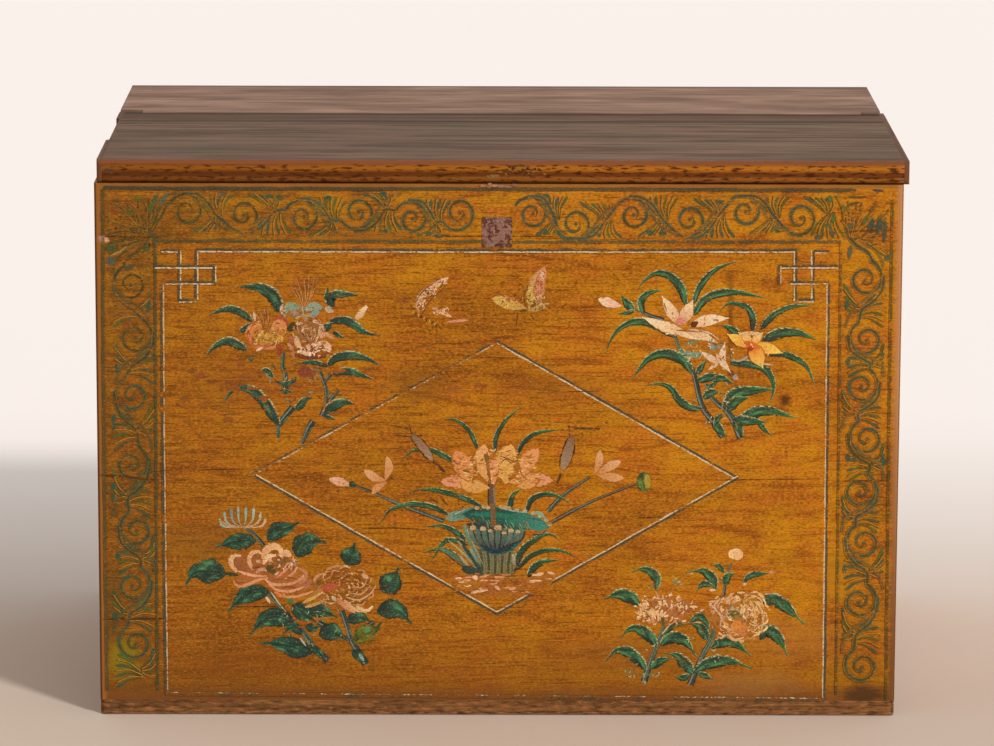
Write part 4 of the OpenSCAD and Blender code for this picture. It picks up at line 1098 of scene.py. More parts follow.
ROSE_STAINS = (
    ((193, 376), (210, 375), 7, "#84402a"), ((239, 376), (253, 376), 6, "#7c5424"),
    ((198, 405), (208, 404), 8, "#8a4f26"), ((180, 398), (189, 398), 8, "#7c4a22"),
    ((237, 366), (245, 365), 7, "#84482a"), ((220, 415), (244, 413), 3, "#6a3a22"),
    ((394, 301), (406, 300), 5, "#8f4a22"))
for start, end, width, tone in ROSE_STAINS:
    roses.stroke([start, end], width, tone, wear=.35, shape="oval", slot=LINE, cover=.7)
ROSE_LEAF_DABS = (
    ((312, 351), (15, 5), 40, ("#ffe4c4", "#f4c8a0", "#e8b48c", "#84482a"), 4, 1.8, .2),
    ((300, 313), (22, 6), 26, ("#8fa390", "#a8b49c", "#8c6c50", "#b89878"), 4, 1.6, .2),
    ((300, 384), (42, 24), 26, ("#1c4c44", "#2a6a50", "#6c3c1c", "#7c9c7c"), 6, 1.6, .3))
for dab in ROSE_LEAF_DABS:
    dabs(roses, *dab)
roses.done(PAINTS)

# Lotus in the diamond
lotus = Painting("lotus_centre")
BUD_STEMS = (
    ([(354, 485), (374, 493), (404, 506), (444, 521)], 4), ([(590, 477), (565, 494), (548, 511)], 4.5))
stems(lotus, BUD_STEMS, "#6b5a3c", "#3c4a34")
POD_STEM = (([(636, 484), (593, 501), (550, 523)], 3.4),)
stems(lotus, POD_STEM, "#5a2c18", "#4a3a20")
# water under the stand: a worn bank of cream and red dabs
BANK = (
    ([(450, 578), (500, 588), (556, 577)], 26, "#a8682e", "#a8642c"),
    ([(470, 588), (500, 592), (530, 586)], 16, "#a46030", "#a0602c"))
for points, width, root, tip in BANK:
    lotus.stroke(points, width, root, tip, wear=.4, shape="oval", slot=LINE, cover=.55, cells=16)
FOOT = [(496, 549), (496, 563), (496, 577)]
lotus.stroke(FOOT, 36, "#4c5844", "#5c5a40", wear=.1, shape="line", slot=LINE, cells=10, cover=.97)
for k in range(15):
    top, foot = 477.5 + k * 2.5, 480 + k * 2.2
    lotus.stroke([(top, 551), (foot, 563), (foot - .5, 574 + k % 3)], 1.7,
                 ("#7c8468", "#3a4834", "#6c7858")[k % 3], ("#6c704c", "#38422c", "#7c7c54")[k % 3], wear=.2,
                 shape="line", slot=LINE, cells=8)
LOTUS_LEAVES = (
    ([(479, 452), (470, 432), (456, 420), (439, 420)], 5),
    ([(495, 453), (496, 437), (506, 420), (523, 405)], 5.5),
    ([(517, 456), (523, 443), (537, 433), (565, 429)], 5.5),
    ([(458, 464), (444, 456), (428, 449), (412, 451), (400, 463)], 6),
    ([(482, 506), (461, 497), (435, 490), (414, 491), (404, 500)], 6.5),
    ([(449, 515), (433, 507), (412, 504), (390, 510), (379, 527)], 6.5),
    ([(466, 542), (458, 533), (442, 526), (422, 527)], 6.5),
    ([(466, 566), (455, 556), (440, 549), (422, 553)], 7),
    ([(468, 545), (458, 541), (444, 542), (431, 561)], 6), ([(508, 512), (513, 495), (524, 488)], 7),
    ([(526, 513), (532, 499), (546, 494), (560, 497), (573, 506)], 6.5),
    ([(515, 570), (521, 552), (537, 538), (551, 534), (561, 543)], 8),
    ([(518, 569), (530, 556), (548, 550), (566, 552), (580, 560)], 6),
    ([(528, 577), (535, 566), (546, 561), (560, 560)], 8))
leaves(lotus, LOTUS_LEAVES, tip="#2f7038", slot=RIMMED)
REEDS = (
    ([(464, 525), (471, 541), (478, 557)], 6, "#6f9478", "#4f7a64"),
    ([(440, 548), (456, 558), (468, 568)], 5, "#5f8468", "#3f5a48"),
    ([(470, 548), (476, 560), (480, 570)], 4, "#8aa084", "#5a7a68"),
    ([(458, 541), (466, 552), (474, 566)], 3, "#a09a74", "#6a7a54"),
    ([(460, 556), (468, 566), (474, 572)], 3, "#b8ac88", "#7a8464"),
    ([(462, 568), (470, 570), (482, 572)], 9, "#16403a", "#1c4a44"),
    ([(474, 562), (482, 574)], 6, "#2a5a50", "#1c3f3a"),
    ([(513, 554), (515, 568)], 4, "#b8b494", "#5a6a54"),
    ([(519, 558), (518, 570)], 3, "#2a4a3c", "#1c3028"),
    ([(448, 540), (462, 552), (476, 568)], 1.6, "#b4b890", "#8a9c78"),
    ([(455, 536), (468, 550), (478, 566)], 1.4, "#1c3428", "#1c3c34"),
    ([(467, 530), (475, 548), (484, 566)], 1.6, "#a8b490", "#6a8a70"),
    ([(444, 552), (456, 562), (470, 572)], 1.4, "#1c3428", "#183430"),
    ([(524, 553), (519, 562), (514, 574)], 2.2, "#1c3c30", "#12302c"),
    ([(462, 545), (472, 558), (480, 571)], 3.4, "#1c5044", "#123a38"))
touches(lotus, REEDS)
FLOWER_STEM = (
    ([(492, 482), (491, 500), (493, 520)], 7, "#6e5040", "#3a4a40"),
    ([(488.6, 484), (488.4, 510)], 1.6, "#3c2c20", "#3a3a2c"),
    ([(494, 488), (495, 508)], 2, "#8c7460", "#7a7860"))
touches(lotus, FLOWER_STEM, "line")
# the leaf cup that carries the flower: a folded rim, and a ribbed bowl with pale tips
CUP_RIM = (
    ([(446, 519), (458, 515), (474, 512)], 11, "#7f9c88", "#2f7a68"),
    ([(452, 517), (474, 511), (500, 512)], 9, "#5a8a78", "#1c6c5c"),
    ([(462, 514), (500, 517), (545, 525)], 20, "#0f5248", "#136454"),
    ([(466, 524), (486, 527), (508, 526)], 8, "#1c3f44", "#1a4448"),
    ([(504, 518), (526, 521), (550, 528)], 15, "#17705c", "#3f8c7c"),
    ([(470, 514), (496, 515), (522, 519)], 5, "#1c7864", "#1a7058"))
touches(lotus, CUP_RIM, "oval", .05, .97)
CUP_RIM_MARKS = (
    ([(455, 514), (468, 508)], 2, "#a8b89c", "#7fa48c"),
    ([(500, 508), (515, 511), (528, 513)], 1.6, "#9ab8a8", "#8cb09c"),
    ([(470, 511), (490, 509), (506, 512)], 1.5, "#123430", "#0f3c34"),
    ([(524, 518), (540, 520), (549, 527)], 1.6, "#2a5c54", "#3c7064"),
    ([(532, 534), (542, 534), (551, 523)], 1.8, "#2a4a3c", "#2f5a4c"),
    ([(532, 513), (540, 513), (545, 518)], 3.4, "#86b09c", "#7cae96"),
    ([(485, 507), (491, 508)], 4, "#c8a878", "#b89c70"), ([(500, 507), (508, 507)], 3, "#d0a474", "#b89c74"))
touches(lotus, CUP_RIM_MARKS)
RIM_TIPS = (
    (477, 508), (484, 507), (492, 506.5), (501, 507), (509, 508), (517, 509.5), (525, 511), (533, 513),
    (540, 516), (546, 520), (550, 525))
for px, py in RIM_TIPS:
    lotus.stroke([(px - 2.6, py), (px + 2.6, py)], 4, "#d0ac80" if px < 520 else "#a8c4a0", "#a89468",
                 wear=.3, shape="oval", slot=LINE, cells=6)
for k in range(26):
    px = 470 + lotus.hand.random() * 62
    py = 513 + (px - 470) * .12 + lotus.hand.random() * 10
    lotus.stroke([(px, py), (px + 2, py + 3.5), (px + 3, py + 6)], 1.2,
                 ("#2f8a74", "#0a3830", "#4fa088")[k % 3], wear=.3, shape="wave", slot=LINE, cells=5,
                 cover=.8)
STEM_IN_CUP = (([(492.6, 503), (493, 514), (493.6, 527)], 5, "#485048", "#2a4a46"),)
touches(lotus, STEM_IN_CUP, "line", .2, .6)
BOWL = (
    ([(472, 535), (497, 542), (524, 534)], 25, "#145c60", "#1a6458"),
    ([(480, 545), (497, 549), (514, 545)], 9, "#0c3846", "#0e3a40"))
touches(lotus, BOWL, "oval", .08, .97)
BOWL_RIBS = 470, 477, 484, 491, 498, 505, 511, 517, 522
for k, px in enumerate(BOWL_RIBS):
    foot = (px + (496 - px) * .45, 549 - abs(px - 496) * .2)
    lotus.stroke([(px, 529), (px + (496 - px) * .12, 539), foot], 5, "#3f7c70" if k % 3 else "#5c8c7c",
                 "#0a3e4c" if k % 2 else "#105654", wear=.16, shape="wave", slot=LINE, cells=10, cover=.85)
    lotus.stroke([(px + 3.4, 531), (px + 3.2 + (496 - px) * .14, 540), (foot[0] + 1.8, foot[1])], 1.7,
                 "#123c40", "#0a2a30", wear=.12, shape="line", slot=LINE, cells=8)
BOWL_TIPS = (
    (473, 528, 6), (483, 529, 6), (498, 528, 7.5), (511, 531, 5.5), (490, 531, 3.5), (504, 533, 4),
    (518, 532, 4))
for px, py, size in BOWL_TIPS:
    lotus.stroke([(px - size / 2, py + 1), (px, py - .6), (px + size / 2, py + 1)], size * .8, "#cdb888",
                 "#c0a478", wear=.2, shape="oval", slot=LINE, cells=8)
LOTUS_PETALS = (
    ([(478, 486), (460, 482), (441, 482)], 16, "#dc9c54", "#e89874"),
    ([(490, 488), (474, 486), (460, 480)], 18, "#dca450", "#e8a864"),
    ([(508, 482), (530, 480), (553, 480)], 17, "#dc9c54", "#eca078"),
    ([(516, 487), (528, 484), (540, 474)], 12, "#d89850", "#eca868"),
    ([(472, 484), (464, 467), (455, 451)], 22, "#d8984c", "#e8905c"),
    ([(488, 482), (482, 462), (484, 444)], 19, "#d89a4c", "#f0b070"),
    ([(521, 480), (527, 463), (538, 448)], 19, "#dc9450", "#ec9c68"),
    ([(506, 484), (505, 464), (511, 444)], 25, "#dca44c", "#f0b468"),
    ([(494, 485), (493, 472), (494, 458)], 13, "#dc9450", "#e8986c"))
petals(lotus, LOTUS_PETALS, .3)
for k in range(80):
    turn, far = k * GOLDEN_TURN, sqrt((k + .5) / 80)
    px, py = 497 + cos(turn) * far * 46, 467 + sin(turn) * far * 17
    reach, rise = lotus.hand.uniform(1.5, 4.5), lotus.hand.uniform(-2, 2)
    lotus.stroke([(px - reach, py + rise), (px, py), (px + reach * .6, py - lotus.hand.uniform(0, 3))],
                 lotus.hand.uniform(1, 2),
                 lotus.hand.choice(("#a8642c", "#ffd898", "#f8c480", "#9a5a24", "#ffcc80", "#b87430")),
                 wear=.3, shape="wave", slot=LINE, cells=6, cover=.85)
LOTUS_MARKS = (
    ([(487, 452), (488, 468), (491, 484)], 3.4, "#a87038", "#90582c"),
    ([(484, 455), (487, 457), (486, 462)], 5, "#7a5c24", "#84602c"),
    ([(500, 456), (509, 459), (516, 463)], 1.4, "#8a4c20", "#9a5828"),
    ([(501, 463), (506, 459), (512, 464)], 1.4, "#84501c", "#8c5424"),
    ([(512, 462), (519, 460)], 1.6, "#8a4c28"), ([(502, 468), (508, 470)], 3, "#dca848", "#d4a044"),
    ([(463, 470), (470, 472)], 3, "#8a5c24", "#946428"), ([(476, 460), (476, 476)], 1.2, "#9a5c2c"),
    ([(526, 457), (532, 457)], 2.4, "#a8742c"), ([(519, 463), (521, 473), (526, 479)], 1.3, "#9c5c2c"),
    ([(448, 481), (456, 483)], 1.3, "#b86840"), ([(536, 479), (546, 480)], 1.3, "#b87040"))
touches(lotus, LOTUS_MARKS)
BUD_PETALS = (
    ([(385, 481), (389, 468), (387, 456)], 9, "#cf8a50", "#e0a470"),
    ([(386, 481), (374, 477), (364, 470)], 10, "#d08a50", "#e8b080"),
    ([(387, 482), (378, 487), (372, 494)], 8, "#cf8850", "#dc9c64"),
    ([(595, 474), (599, 462), (600, 450)], 9, "#cf8a50", "#e4ac74"),
    ([(597, 474), (609, 467), (621, 461)], 11, "#d08c50", "#e8b480"),
    ([(597, 475), (610, 477), (624, 478)], 10, "#cf8850", "#e0a870"),
    ([(352, 486), (341, 482), (329, 479)], 10, "#dc9c70", "#f0bc9c"))
petals(lotus, BUD_PETALS, .18)
BUD_SEPAL = [(349, 484), (357, 486)]
lotus.stroke(BUD_SEPAL, 8, DEEP, TEAL, wear=.25, slot=LEAF)
TWIGS = (
    ([(391, 425), (409, 429)], 1.7), ([(409, 424), (412, 435)], 1.7), ([(395, 435), (412, 437)], 1.7),
    ([(432, 460), (445, 472)], 3), ([(390, 478), (403, 480)], 2.2), ([(572, 428), (600, 429)], 2.4),
    ([(569, 425), (570, 437)], 2.2), ([(572, 436), (583, 434)], 2.2), ([(562, 470), (556, 488)], 2.6),
    ([(452, 487), (458, 495), (459, 505)], 1.6), ([(458, 511), (466, 504)], 1.6),
    ([(430, 498), (438, 503)], 2), ([(441, 497), (447, 505)], 2), ([(418, 486), (420, 492)], 2))
for points, width in TWIGS:
    lotus.stroke(points, width, BROWN, wear=.42, shape="line", slot=LINE, cells=8)
CATTAILS = (([(411, 434), (422, 446), (433, 461)], 8), ([(572, 436), (568, 452), (562, 471)], 10))
for points, width in CATTAILS:
    lotus.stroke(points, width + 2.4, "#34241a", wear=.08, shape="oval", slot=LINE)
    lotus.stroke(points, width, "#84644e", "#a88c70", wear=.3, shape="oval", slot=LINE)
SEED_POD, POD_LIGHT = [(644, 472), (644, 492)], [(647, 474), (648, 489)]
lotus.stroke(SEED_POD, 16, "#3f5a22", "#6a7a2a", wear=.22, shape="oval", slot=LEAF)
lotus.stroke(POD_LIGHT, 7, "#a89a3a", wear=.26, shape="oval", slot=LINE)
for _ in range(90):
    px, py = lotus.hand.triangular(448, 558, 490), lotus.hand.triangular(571, 595, 580)
    reach = lotus.hand.uniform(2, 7)
    lotus.stroke([(px - reach, py), (px, py + lotus.hand.uniform(-1, 1)), (px + reach, py)],
                 lotus.hand.uniform(1.2, 3),
                 lotus.hand.choice(("#f0a878", "#c8804c", "#ffd0a0", "#a05a2c", "#b0583c", "#84481c")),
                 wear=.4, shape="oval", slot=LINE, cells=6, cover=.85)
BANK_MARKS = (
    ([(471, 593), (480, 591), (488, 590)], 3, "#e4b490", "#e8bc98"),
    ([(474, 576), (477, 580)], 5, "#f0cca8", "#e8bc94"),
    ([(495, 586), (500, 590)], 3.4, "#e8b890", "#e0a878"),
    ([(509, 589), (516, 588)], 3.4, "#e0a070", "#e4ac7c"),
    ([(536, 575), (544, 573)], 3.6, "#f0c498", "#e8b484"),
    ([(547, 572), (555, 574)], 3, "#e4a878", "#e8b890"), ([(456, 586), (461, 586)], 4, "#c0442c", "#c8a030"))
touches(lotus, BANK_MARKS)
lotus.done(PAINTS)

# Blooms, lower right
blooms = Painting("blooms_bottom_right")
BLOOM_STEMS = (
    ([(664, 620), (662, 632), (655, 650), (644, 682)], 6),
    ([(717, 617), (713, 636), (703, 655), (690, 685)], 6),
    ([(732, 563), (728, 572), (725, 586), (724, 594), (720, 600)], 3))
stems(blooms, BLOOM_STEMS, "#6a7a5a", "#2c3a44")
BLOOM_LEAVES = (
    ([(656, 590), (657, 579), (650, 571), (641, 569), (632, 572)], 11),
    ([(716, 590), (712, 578), (703, 571), (689, 572)], 11), ([(713, 586), (703, 584), (696, 592)], 7),
    ([(724, 573), (719, 566), (711, 565)], 6), ([(725, 586), (727, 577), (736, 573)], 10),
    ([(744, 584), (748, 577), (758, 574), (773, 573)], 7),
    ([(640, 605), (630, 597), (619, 594), (604, 599)], 15),
    ([(757, 601), (770, 599), (784, 605), (804, 624)], 15),
    ([(760, 640), (766, 631), (777, 636), (788, 656)], 14),
    ([(657, 647), (651, 638), (640, 629), (630, 629), (620, 638)], 13),
    ([(646, 671), (640, 661), (628, 652), (616, 651), (605, 661)], 13),
    ([(660, 646), (670, 638), (684, 640), (696, 656)], 14),
    ([(694, 674), (685, 664), (677, 656), (665, 653)], 13), ([(651, 669), (660, 661), (674, 658)], 9),
    ([(694, 672), (709, 663), (729, 661), (752, 668)], 14), ([(708, 640), (700, 627), (688, 623)], 12),
    ([(711, 648), (722, 642), (735, 643), (751, 656)], 13), ([(690, 674), (682, 678), (674, 676)], 7),
    ([(697, 673), (706, 676), (714, 680)], 7), ([(690, 622), (699, 616), (706, 622), (711, 634)], 9),
    ([(664, 634), (674, 625), (688, 624)], 7))
leaves(blooms, BLOOM_LEAVES, "leaf", slot=RIMMED, wear=.22)
BLOOM_GROUND = (
    ([(638, 612), (664, 610), (692, 611)], 26, "#b0704a", "#b07048"),
    ([(706, 617), (736, 616), (768, 618)], 44, "#a4683a", "#b47c40"))
touches(blooms, BLOOM_GROUND, "oval", .36, .62)
BLOOM_DABS = (
    ((664, 609), (29, 16), 110, ("#f0c090", "#fcd4a4", "#e0a478", "#a87048", "#f4d0a0"), 5, 2),
    ((650, 613), (13, 10), 44, ("#f8c888", "#ffe0ac", "#ecb880"), 5, 2.4),
    ((664, 609), (28, 15), 54, ("#8c5428", "#a0622f"), 4, 1.6),
    ((737, 616), (31, 25), 120, ("#e8ac68", "#f8cc8c", "#c88c4c", "#e4ac7c", "#ffdca8"), 6, 2.2, .3, .6),
    ((755, 614), (13, 22), 50, ("#f4c480", "#ffd898", "#dca860"), 7, 2, .3, .4),
    ((736, 616), (28, 22), 50, ("#8a5428", "#9c5f2c"), 5, 1.6, .3, .6),
    ((726, 607), (16, 11), 36, ("#c8906c", "#e8b490", "#b47850"), 4, 1.8))
for dab in BLOOM_DABS:
    dabs(blooms, *dab)
BLOOM_MARKS = (
    ([(662, 617), (664, 628)], 4, "#5c5430", "#5a5c34"),
    ([(662, 634), (667, 628), (671, 624)], 1.6, "#d8b890", "#d0ac84"),
    ([(731, 616), (735, 613), (740, 614)], 6, "#5c5828", "#6c6434"),
    ([(731, 628), (739, 626), (748, 629)], 12, "#dc9040", "#d8803c"),
    ([(738, 632), (748, 632)], 8, "#d8804c", "#cf7840"),
    ([(727, 634), (735, 640), (744, 637)], 3.4, "#e4a878", "#f0bc90"),
    ([(750, 600), (755, 612), (754, 630)], 2.2, "#e0b070", "#d8a464"),
    ([(757, 602), (763, 615), (761, 632)], 2.4, "#e8bc80", "#dca868"),
    ([(746, 606), (749, 618)], 2, "#d0945c", "#e0ac70"),
    ([(720, 598), (714, 607), (721, 616), (720, 627)], 2.2, "#e4bc98", "#d8ac88"),
    ([(724, 597), (720, 603)], 2.2, "#e8c8a4", "#e0b890"),
    ([(708, 602), (719, 600)], 2, "#e4bc94", "#dcb088"),
    ([(700, 611), (704, 609)], 2.4, "#d8b890", "#c8a880"), ([(692, 606), (698, 607)], 2, "#f0c8a0"),
    ([(713, 628), (711, 638)], 4, "#6a6a44", "#4c5438"))
touches(blooms, BLOOM_MARKS)
BLOOM_LEAF_TIPS = (
    ([(709, 590), (716, 590)], 2.4, "#e4cca8", "#e0c4a0"),
    ([(743, 584), (747, 584)], 3, "#d8cc9c", "#b8b880"), ([(768, 573), (775, 571)], 3, "#d89878", "#d08c6c"))
touches(blooms, BLOOM_LEAF_TIPS, "oval")
BLOOM_SPRIGS = (
    ((652, 587), (8, 2.6), 7), ((677, 583), (7, 5), 14), ((689, 572), (4, 2), 4), ((630, 673), (7, 4), 12),
    ((644, 679), (3, 6), 10), ((655, 675), (8, 2.6), 9), ((640, 650), (24, 18), 10),
    ((705, 650), (24, 18), 10), ((735, 613), (8, 6), 16))
for at, radii, count in BLOOM_SPRIGS:
    dabs(blooms, at, radii, count, ("#b0b890", "#c8c4a0", "#8fa07c", "#3f6a50", "#4c7c60"), 3, 1.4, .3)
ROUND_BUD = [(729, 557), (735, 554), (743, 557)]
blooms.stroke(ROUND_BUD, 13.5, "#fcd494", "#f4b87c", wear=.14, shape="oval", slot=PETAL)
blooms.done(PAINTS)

# Butterflies
wings = Painting("butterflies")
WING_SHADE = (([(437, 298), (444, 304), (447, 312)], 15, "#8c5018", "#96581c"),)
touches(wings, WING_SHADE, "oval", .4, .5)
WINGS = (
    ([(420, 314), (417, 304), (425, 293), (435, 286), (449, 277)], 9.5, "#c08458", "#f0c498"),
    ([(431, 306), (440, 311), (452, 317)], 5.5, "#b88058", "#ecc094"),
    ([(446, 322), (457, 321), (469, 320)], 3.2, "#dc9c7c", "#d89878"),
    ([(527, 309), (515, 305), (503, 301), (492, 299)], 15, "#c89448", "#dcb45c"),
    ([(529, 310), (531, 297), (535, 284), (545, 267)], 15, "#bc9c48", "#dca078"),
    ([(535, 308), (539, 298), (540, 287), (545, 268)], 12, "#c48450", "#dc9474"),
    ([(527, 311), (538, 308), (550, 303)], 8, "#b8904c", "#c8a45c"))
petals(wings, WINGS, .36)
WING_TONES = (
    ("#f8d4ac", "#e8b48c", "#8a5424", "#7c4a1c", "#f0c8a0"),
    ("#c8644c", "#b0583c", "#e09070", "#8a4424", "#d8a068"),
    ("#e8c050", "#f0d068", "#a87c28", "#8a4c20"), ("#d8b478", "#6c5424", "#e8c898", "#94602c"))
WING_DABS = (
    ((422, 302), (5, 8), 34, 0), ((431, 292), (7, 6), 32, 0), ((442, 283), (6, 4), 20, 0),
    ((440, 311), (9, 4), 18, 0), ((512, 300), (12, 4), 22, 1), ((506, 303), (11, 4), 26, 2),
    ((530, 295), (4, 11), 24, 2), ((539, 289), (4, 9), 30, 1), ((543, 275), (3, 6), 10, 0),
    ((540, 300), (5, 5), 14, 3), ((538, 306), (10, 3.4), 22, 3))
for at, radii, count, tones in WING_DABS:
    dabs(wings, at, radii, count, WING_TONES[tones], 3, 1.3, .12)
WING_LINES = (
    ([(526, 307), (524, 296), (529, 284)], 1.1, "#4c441c", "#5c4c1c"),
    ([(520, 311), (527, 310)], 3, "#6a5030", "#54481c"),
    ([(415, 303), (424, 290), (440, 279)], 1.1, "#6c3c18"),
    ([(423, 313), (429, 302), (446, 286)], 1, "#6c3c18", "#7c4820"))
touches(wings, WING_LINES)
for k in range(9):
    wings.stroke([(413.6 + k * 2.7, 310.6 + k * 1.5), (412.8 + k * 2.7, 313.6 + k * 1.5)], 1.3,
                 "#4a3414" if k % 2 else "#cfa44c", wear=.25, shape="line", slot=LINE, cells=4)
LEGS = (
    [(434, 325), (430, 332)], [(436, 324), (437, 333)], [(437, 323), (442, 330)], [(433, 327), (428, 330)],
    [(414, 309), (410, 305)], [(518, 313), (516, 326)], [(524, 316), (526, 323)], [(530, 314), (534, 319)],
    [(505, 297), (500, 294)])
for points in LEGS:
    wings.stroke(points, 1, BROWN, wear=.4, shape="line", slot=LINE, cells=5, cover=.8)
wings.done(PAINTS)

# Cracks, stains and rubbed places on the front
worn = Painting("cracks_and_stains")
# flakes of the film have lifted in rows across the upper middle and left
LIFTED = (250, 386), (430, 380), (215, 398), (330, 372)
for _ in range(64):
    px, py = worn.hand.choice(LIFTED)
    px, py = worn.hand.gauss(px, 34), worn.hand.gauss(py, 13)
    reach = worn.hand.uniform(2, 8)
    tone = worn.hand.choice(("#7c3f1c", "#8a4a20", "#6c3a1c", "#94582c", "#84401f"))
    worn.stroke([(px - reach, py), (px, py + worn.hand.uniform(-1, 1)), (px + reach, py)],
                worn.hand.uniform(2, 5.5), tone, wear=.36, shape="oval", slot=LINE, cells=8, cover=.6)
CRACKS = (
    ([(99, 236), (160, 237)], 1.4), ([(99.5, 475), (130, 477), (158, 480)], 2),
    ([(102, 619), (168, 618)], 1.8), ([(850, 231), (893, 230)], 1.3),
    ([(357, 529), (395, 528), (430, 530)], 1.6), ([(636, 518), (664, 517)], 1.5),
    ([(233, 607), (286, 606)], 1.5), ([(110, 474), (112, 476)], 1.5), ([(430, 236), (560, 236)], 1.1),
    ([(700, 480), (822, 479)], 1.1), ([(840, 481), (890, 480)], 1.3), ([(470, 357), (520, 358)], 1),
    ([(560, 392), (600, 391)], 1), ([(190, 470), (246, 469)], 1.1))
for points, width in CRACKS:
    worn.stroke(points, width, "#3c1c0a", wear=.34, shape="oval", slot=LINE, cells=30, cover=.85, shake=.4)
RAIL_CHIPS = (
    (483, 185.5, 4, "#a8846c"), (489, 186.5, 3, "#8f7060"), (494, 185.5, 4, "#b8988a"),
    (501, 186, 4, "#9a7c74"), (508, 186.5, 4, "#94705c"), (514, 185, 3, "#8c6a5c"), (490, 184, 2, "#c8a898"))
for px, py, reach, tone in RAIL_CHIPS:
    worn.stroke([(px - reach, py), (px + reach, py)], 2.6, tone, wear=.3, shape="oval", slot=LINE, cells=8,
                cover=.85)
worn.done(PAINTS)

# A dark dirty patch with flecks in the middle of the lid's front edge, and rubbed bits along it
rubs = Painting("lid_edge_rubs", LID_FRONT)
EDGE_RUBS = (
    ([(486, 177), (500, 176)], 4, "#7a5c38"), ([(102, 171), (108, 170.5), (115, 171)], 4.6, "#2c2226"))
for points, width, tone in EDGE_RUBS:
    rubs.stroke(points, width, tone, wear=.02, shape="oval", slot=LINE, cells=16, cover=.75, shake=.3)
DIRTY_PATCH = 522, 170.5
for _ in range(60):
    px, py = rubs.hand.gauss(DIRTY_PATCH[0], 12), rubs.hand.gauss(DIRTY_PATCH[1], 2.6)
    rubs.stroke([(px - 3, py), (px + rubs.hand.uniform(-1, 3), py + 1)], rubs.hand.uniform(1, 2.6),
                rubs.hand.choice(("#4a2410", "#3a1c0c", "#66381a", "#946420")), wear=.1, shape="oval",
                slot=LINE, cells=5)
rubs.done(PAINTS, "lid")

# Wax patch on the top border
WAX_AT, WAX_SIZE, WAX_THICK = (497, 232), 30, .0007       # middle and width in pixels, and metres
SORT_ALONG = Vector((1, 7, 50))     # a direction along which no two corners of the patch lie level


def wax_remnant():
    """A square smear of old sealing wax, crazed and thin at its edges, on the top border."""
    material, tree = new_material("old_mottled_sealing_wax")
    place = add(tree, "TexCoord", {}, "Object")
    blots = add(tree, "TexNoise", {"Vector": place, "Scale": 1 / .008, "Detail": 3, "Roughness": .65})
    grains = add(tree, "TexNoise", {"Vector": place, "Scale": 1 / .0022, "Detail": 2})
    colour = layered(tree, hue("#8f695a"), ((blots, .47, .53, 1, "#5c3428"),
                                            (grains, .5, .66, .4, "#4a2c24"),
                                            (grains, .44, .3, .5, "#b8948a")))
    finish_material(tree, colour, .5, grains, RELIEF)
    hand = random.Random(5)
    shape = bmesh.new()
    bmesh.ops.create_grid(shape, x_segments=18, y_segments=18, size=.5)
    for vert in shape.verts:
        u, v = vert.co.x, vert.co.y
        rim = min(.5 - abs(u), .5 - abs(v))
        place = seen_on(FRONT, WAX_AT[0] + u * WAX_SIZE + hand.uniform(-.4, .4),
                        WAX_AT[1] - v * WAX_SIZE + hand.uniform(-.4, .4))
        lift = WAX_THICK + min(rim * 6, 1) * WAX_THICK * hand.uniform(.5, 1.1)
        vert.co = place + FRONT[1] * lift
    ring = bmesh.ops.extrude_edge_only(shape, edges=[e for e in shape.edges if e.is_boundary])
    for vert in (g for g in ring["geom"] if isinstance(g, bmesh.types.BMVert)):
        vert.co.y = FRONT[0].y - .00002
    # the extrusion adds the sides in any order, so all are sorted and each run gives the same mesh
    shape.verts.sort(key=lambda vert: vert.co.dot(SORT_ALONG))
    shape.faces.sort(key=lambda face: face.calc_center_median().dot(SORT_ALONG))
    bmesh.ops.recalc_face_normals(shape, faces=shape.faces)
    piece = new_piece("wax_remnant", shape, [material])
    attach(piece, "carcass")


wax_remnant()

# Stage, light and camera
FLOOR_REACH = 30                            # half the floor's size, in metres
WORLD_LEVEL = .55
KEY_AZIMUTH, KEY_ELEVATION = 40 * pi / 180, 32 * pi / 180
KEY_LEVEL, KEY_ANGLE, KEY_COLOUR = 2.1, .12, (1, .965, .92)


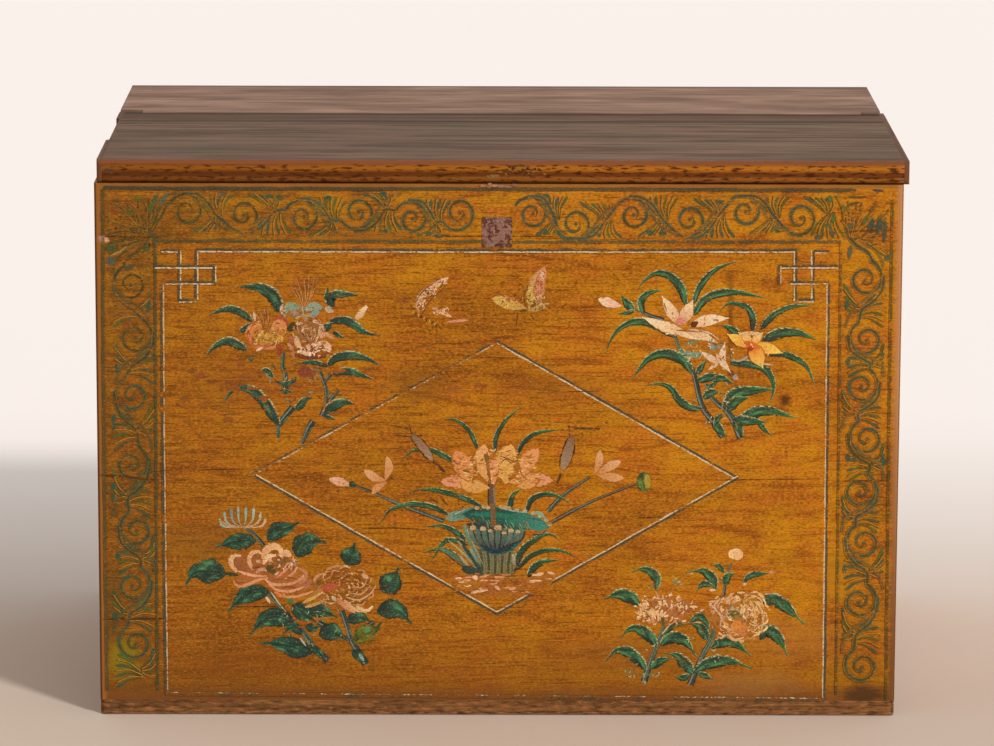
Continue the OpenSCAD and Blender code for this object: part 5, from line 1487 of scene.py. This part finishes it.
def stage_floor():
    """A pale floor that reaches past every view."""
    material, tree = new_material("pale_limewashed_floor")
    place = add(tree, "TexCoord", {}, "Object")
    speck = add(tree, "TexNoise", {"Vector": place, "Scale": 3})
    colour = add(tree, "Mix", {0: speck, 6: hue("#d3c2b2"), 7: hue("#d9c9bb")}, **COLOUR)
    away = add(tree, "SeparateXYZ", {"Vector": place}).node.outputs[1]
    colour = layered(tree, colour, ((away, -.3, 1.2, 1, "#efe8e3"),))
    finish_material(tree, colour, .8, speck, .0002)
    # the far part of the floor stands for the bright wall: the camera sees it glow, the chest gets no light
    shader = tree.nodes["Principled BSDF"]
    shader.inputs["Emission Color"].default_value = hue("#f2f0f8")
    far = add(tree, "MapRange", {0: away, 1: .1, 2: 1.4, 4: .2})
    seen = add(tree, "LightPath", {}, "Is Camera Ray")
    glow = add(tree, "Math", {0: far, 1: seen}, operation="MULTIPLY")
    tree.links.new(glow, shader.inputs["Emission Strength"])
    shape = bmesh.new()
    bmesh.ops.create_grid(shape, x_segments=1, y_segments=1, size=FLOOR_REACH)
    floor = new_piece("floor", shape, [material])


stage_floor()
world = bpy.data.worlds.new("soft_studio")
bpy.context.scene.world = world
world.use_nodes = True
world.node_tree.nodes.clear()
sky = world.node_tree
shown = add(sky, "LightPath", {}, "Is Camera Ray").node.outputs
seen = shown["Is Camera Ray"]
for ray in ("Is Glossy Ray", "Is Transmission Ray"):
    seen = add(sky, "Math", {0: seen, 1: shown[ray]}, operation="MAXIMUM")
level = add(sky, "MapRange", {0: seen, 3: WORLD_LEVEL, 4: 1})
tone = add(sky, "Mix", {0: seen, 6: hue("#fffaf4"), 7: hue("#ece6e1")}, **COLOUR)
sky.links.new(add(sky, "Background", {"Color": tone, "Strength": level}),
              sky.nodes.new("ShaderNodeOutputWorld").inputs["Surface"])

key = bpy.data.lights.new("key", "SUN")
key.energy, key.angle, key.color = KEY_LEVEL, KEY_ANGLE, KEY_COLOUR
key_lamp = bpy.data.objects.new("key", key)
toward = Vector((sin(KEY_AZIMUTH) * cos(KEY_ELEVATION), -cos(KEY_AZIMUTH) * cos(KEY_ELEVATION),
                 sin(KEY_ELEVATION)))
key_lamp.rotation_euler = toward.to_track_quat("Z", "Y").to_euler()
bpy.context.scene.collection.objects.link(key_lamp)

camera = bpy.data.objects.new("camera", bpy.data.cameras.new("camera"))
camera.data.sensor_width = SENSOR_MM
camera.data.lens = SENSOR_MM * FOCAL_PX / IMAGE_W
camera.data.clip_start, camera.data.clip_end = .1, 100
camera.matrix_world = Matrix.Translation(CAMERA_AT) @ CAMERA_TURN.to_4x4()
bpy.context.scene.collection.objects.link(camera)
bpy.context.scene.camera = camera
bpy.context.scene.view_settings.view_transform = "Standard"
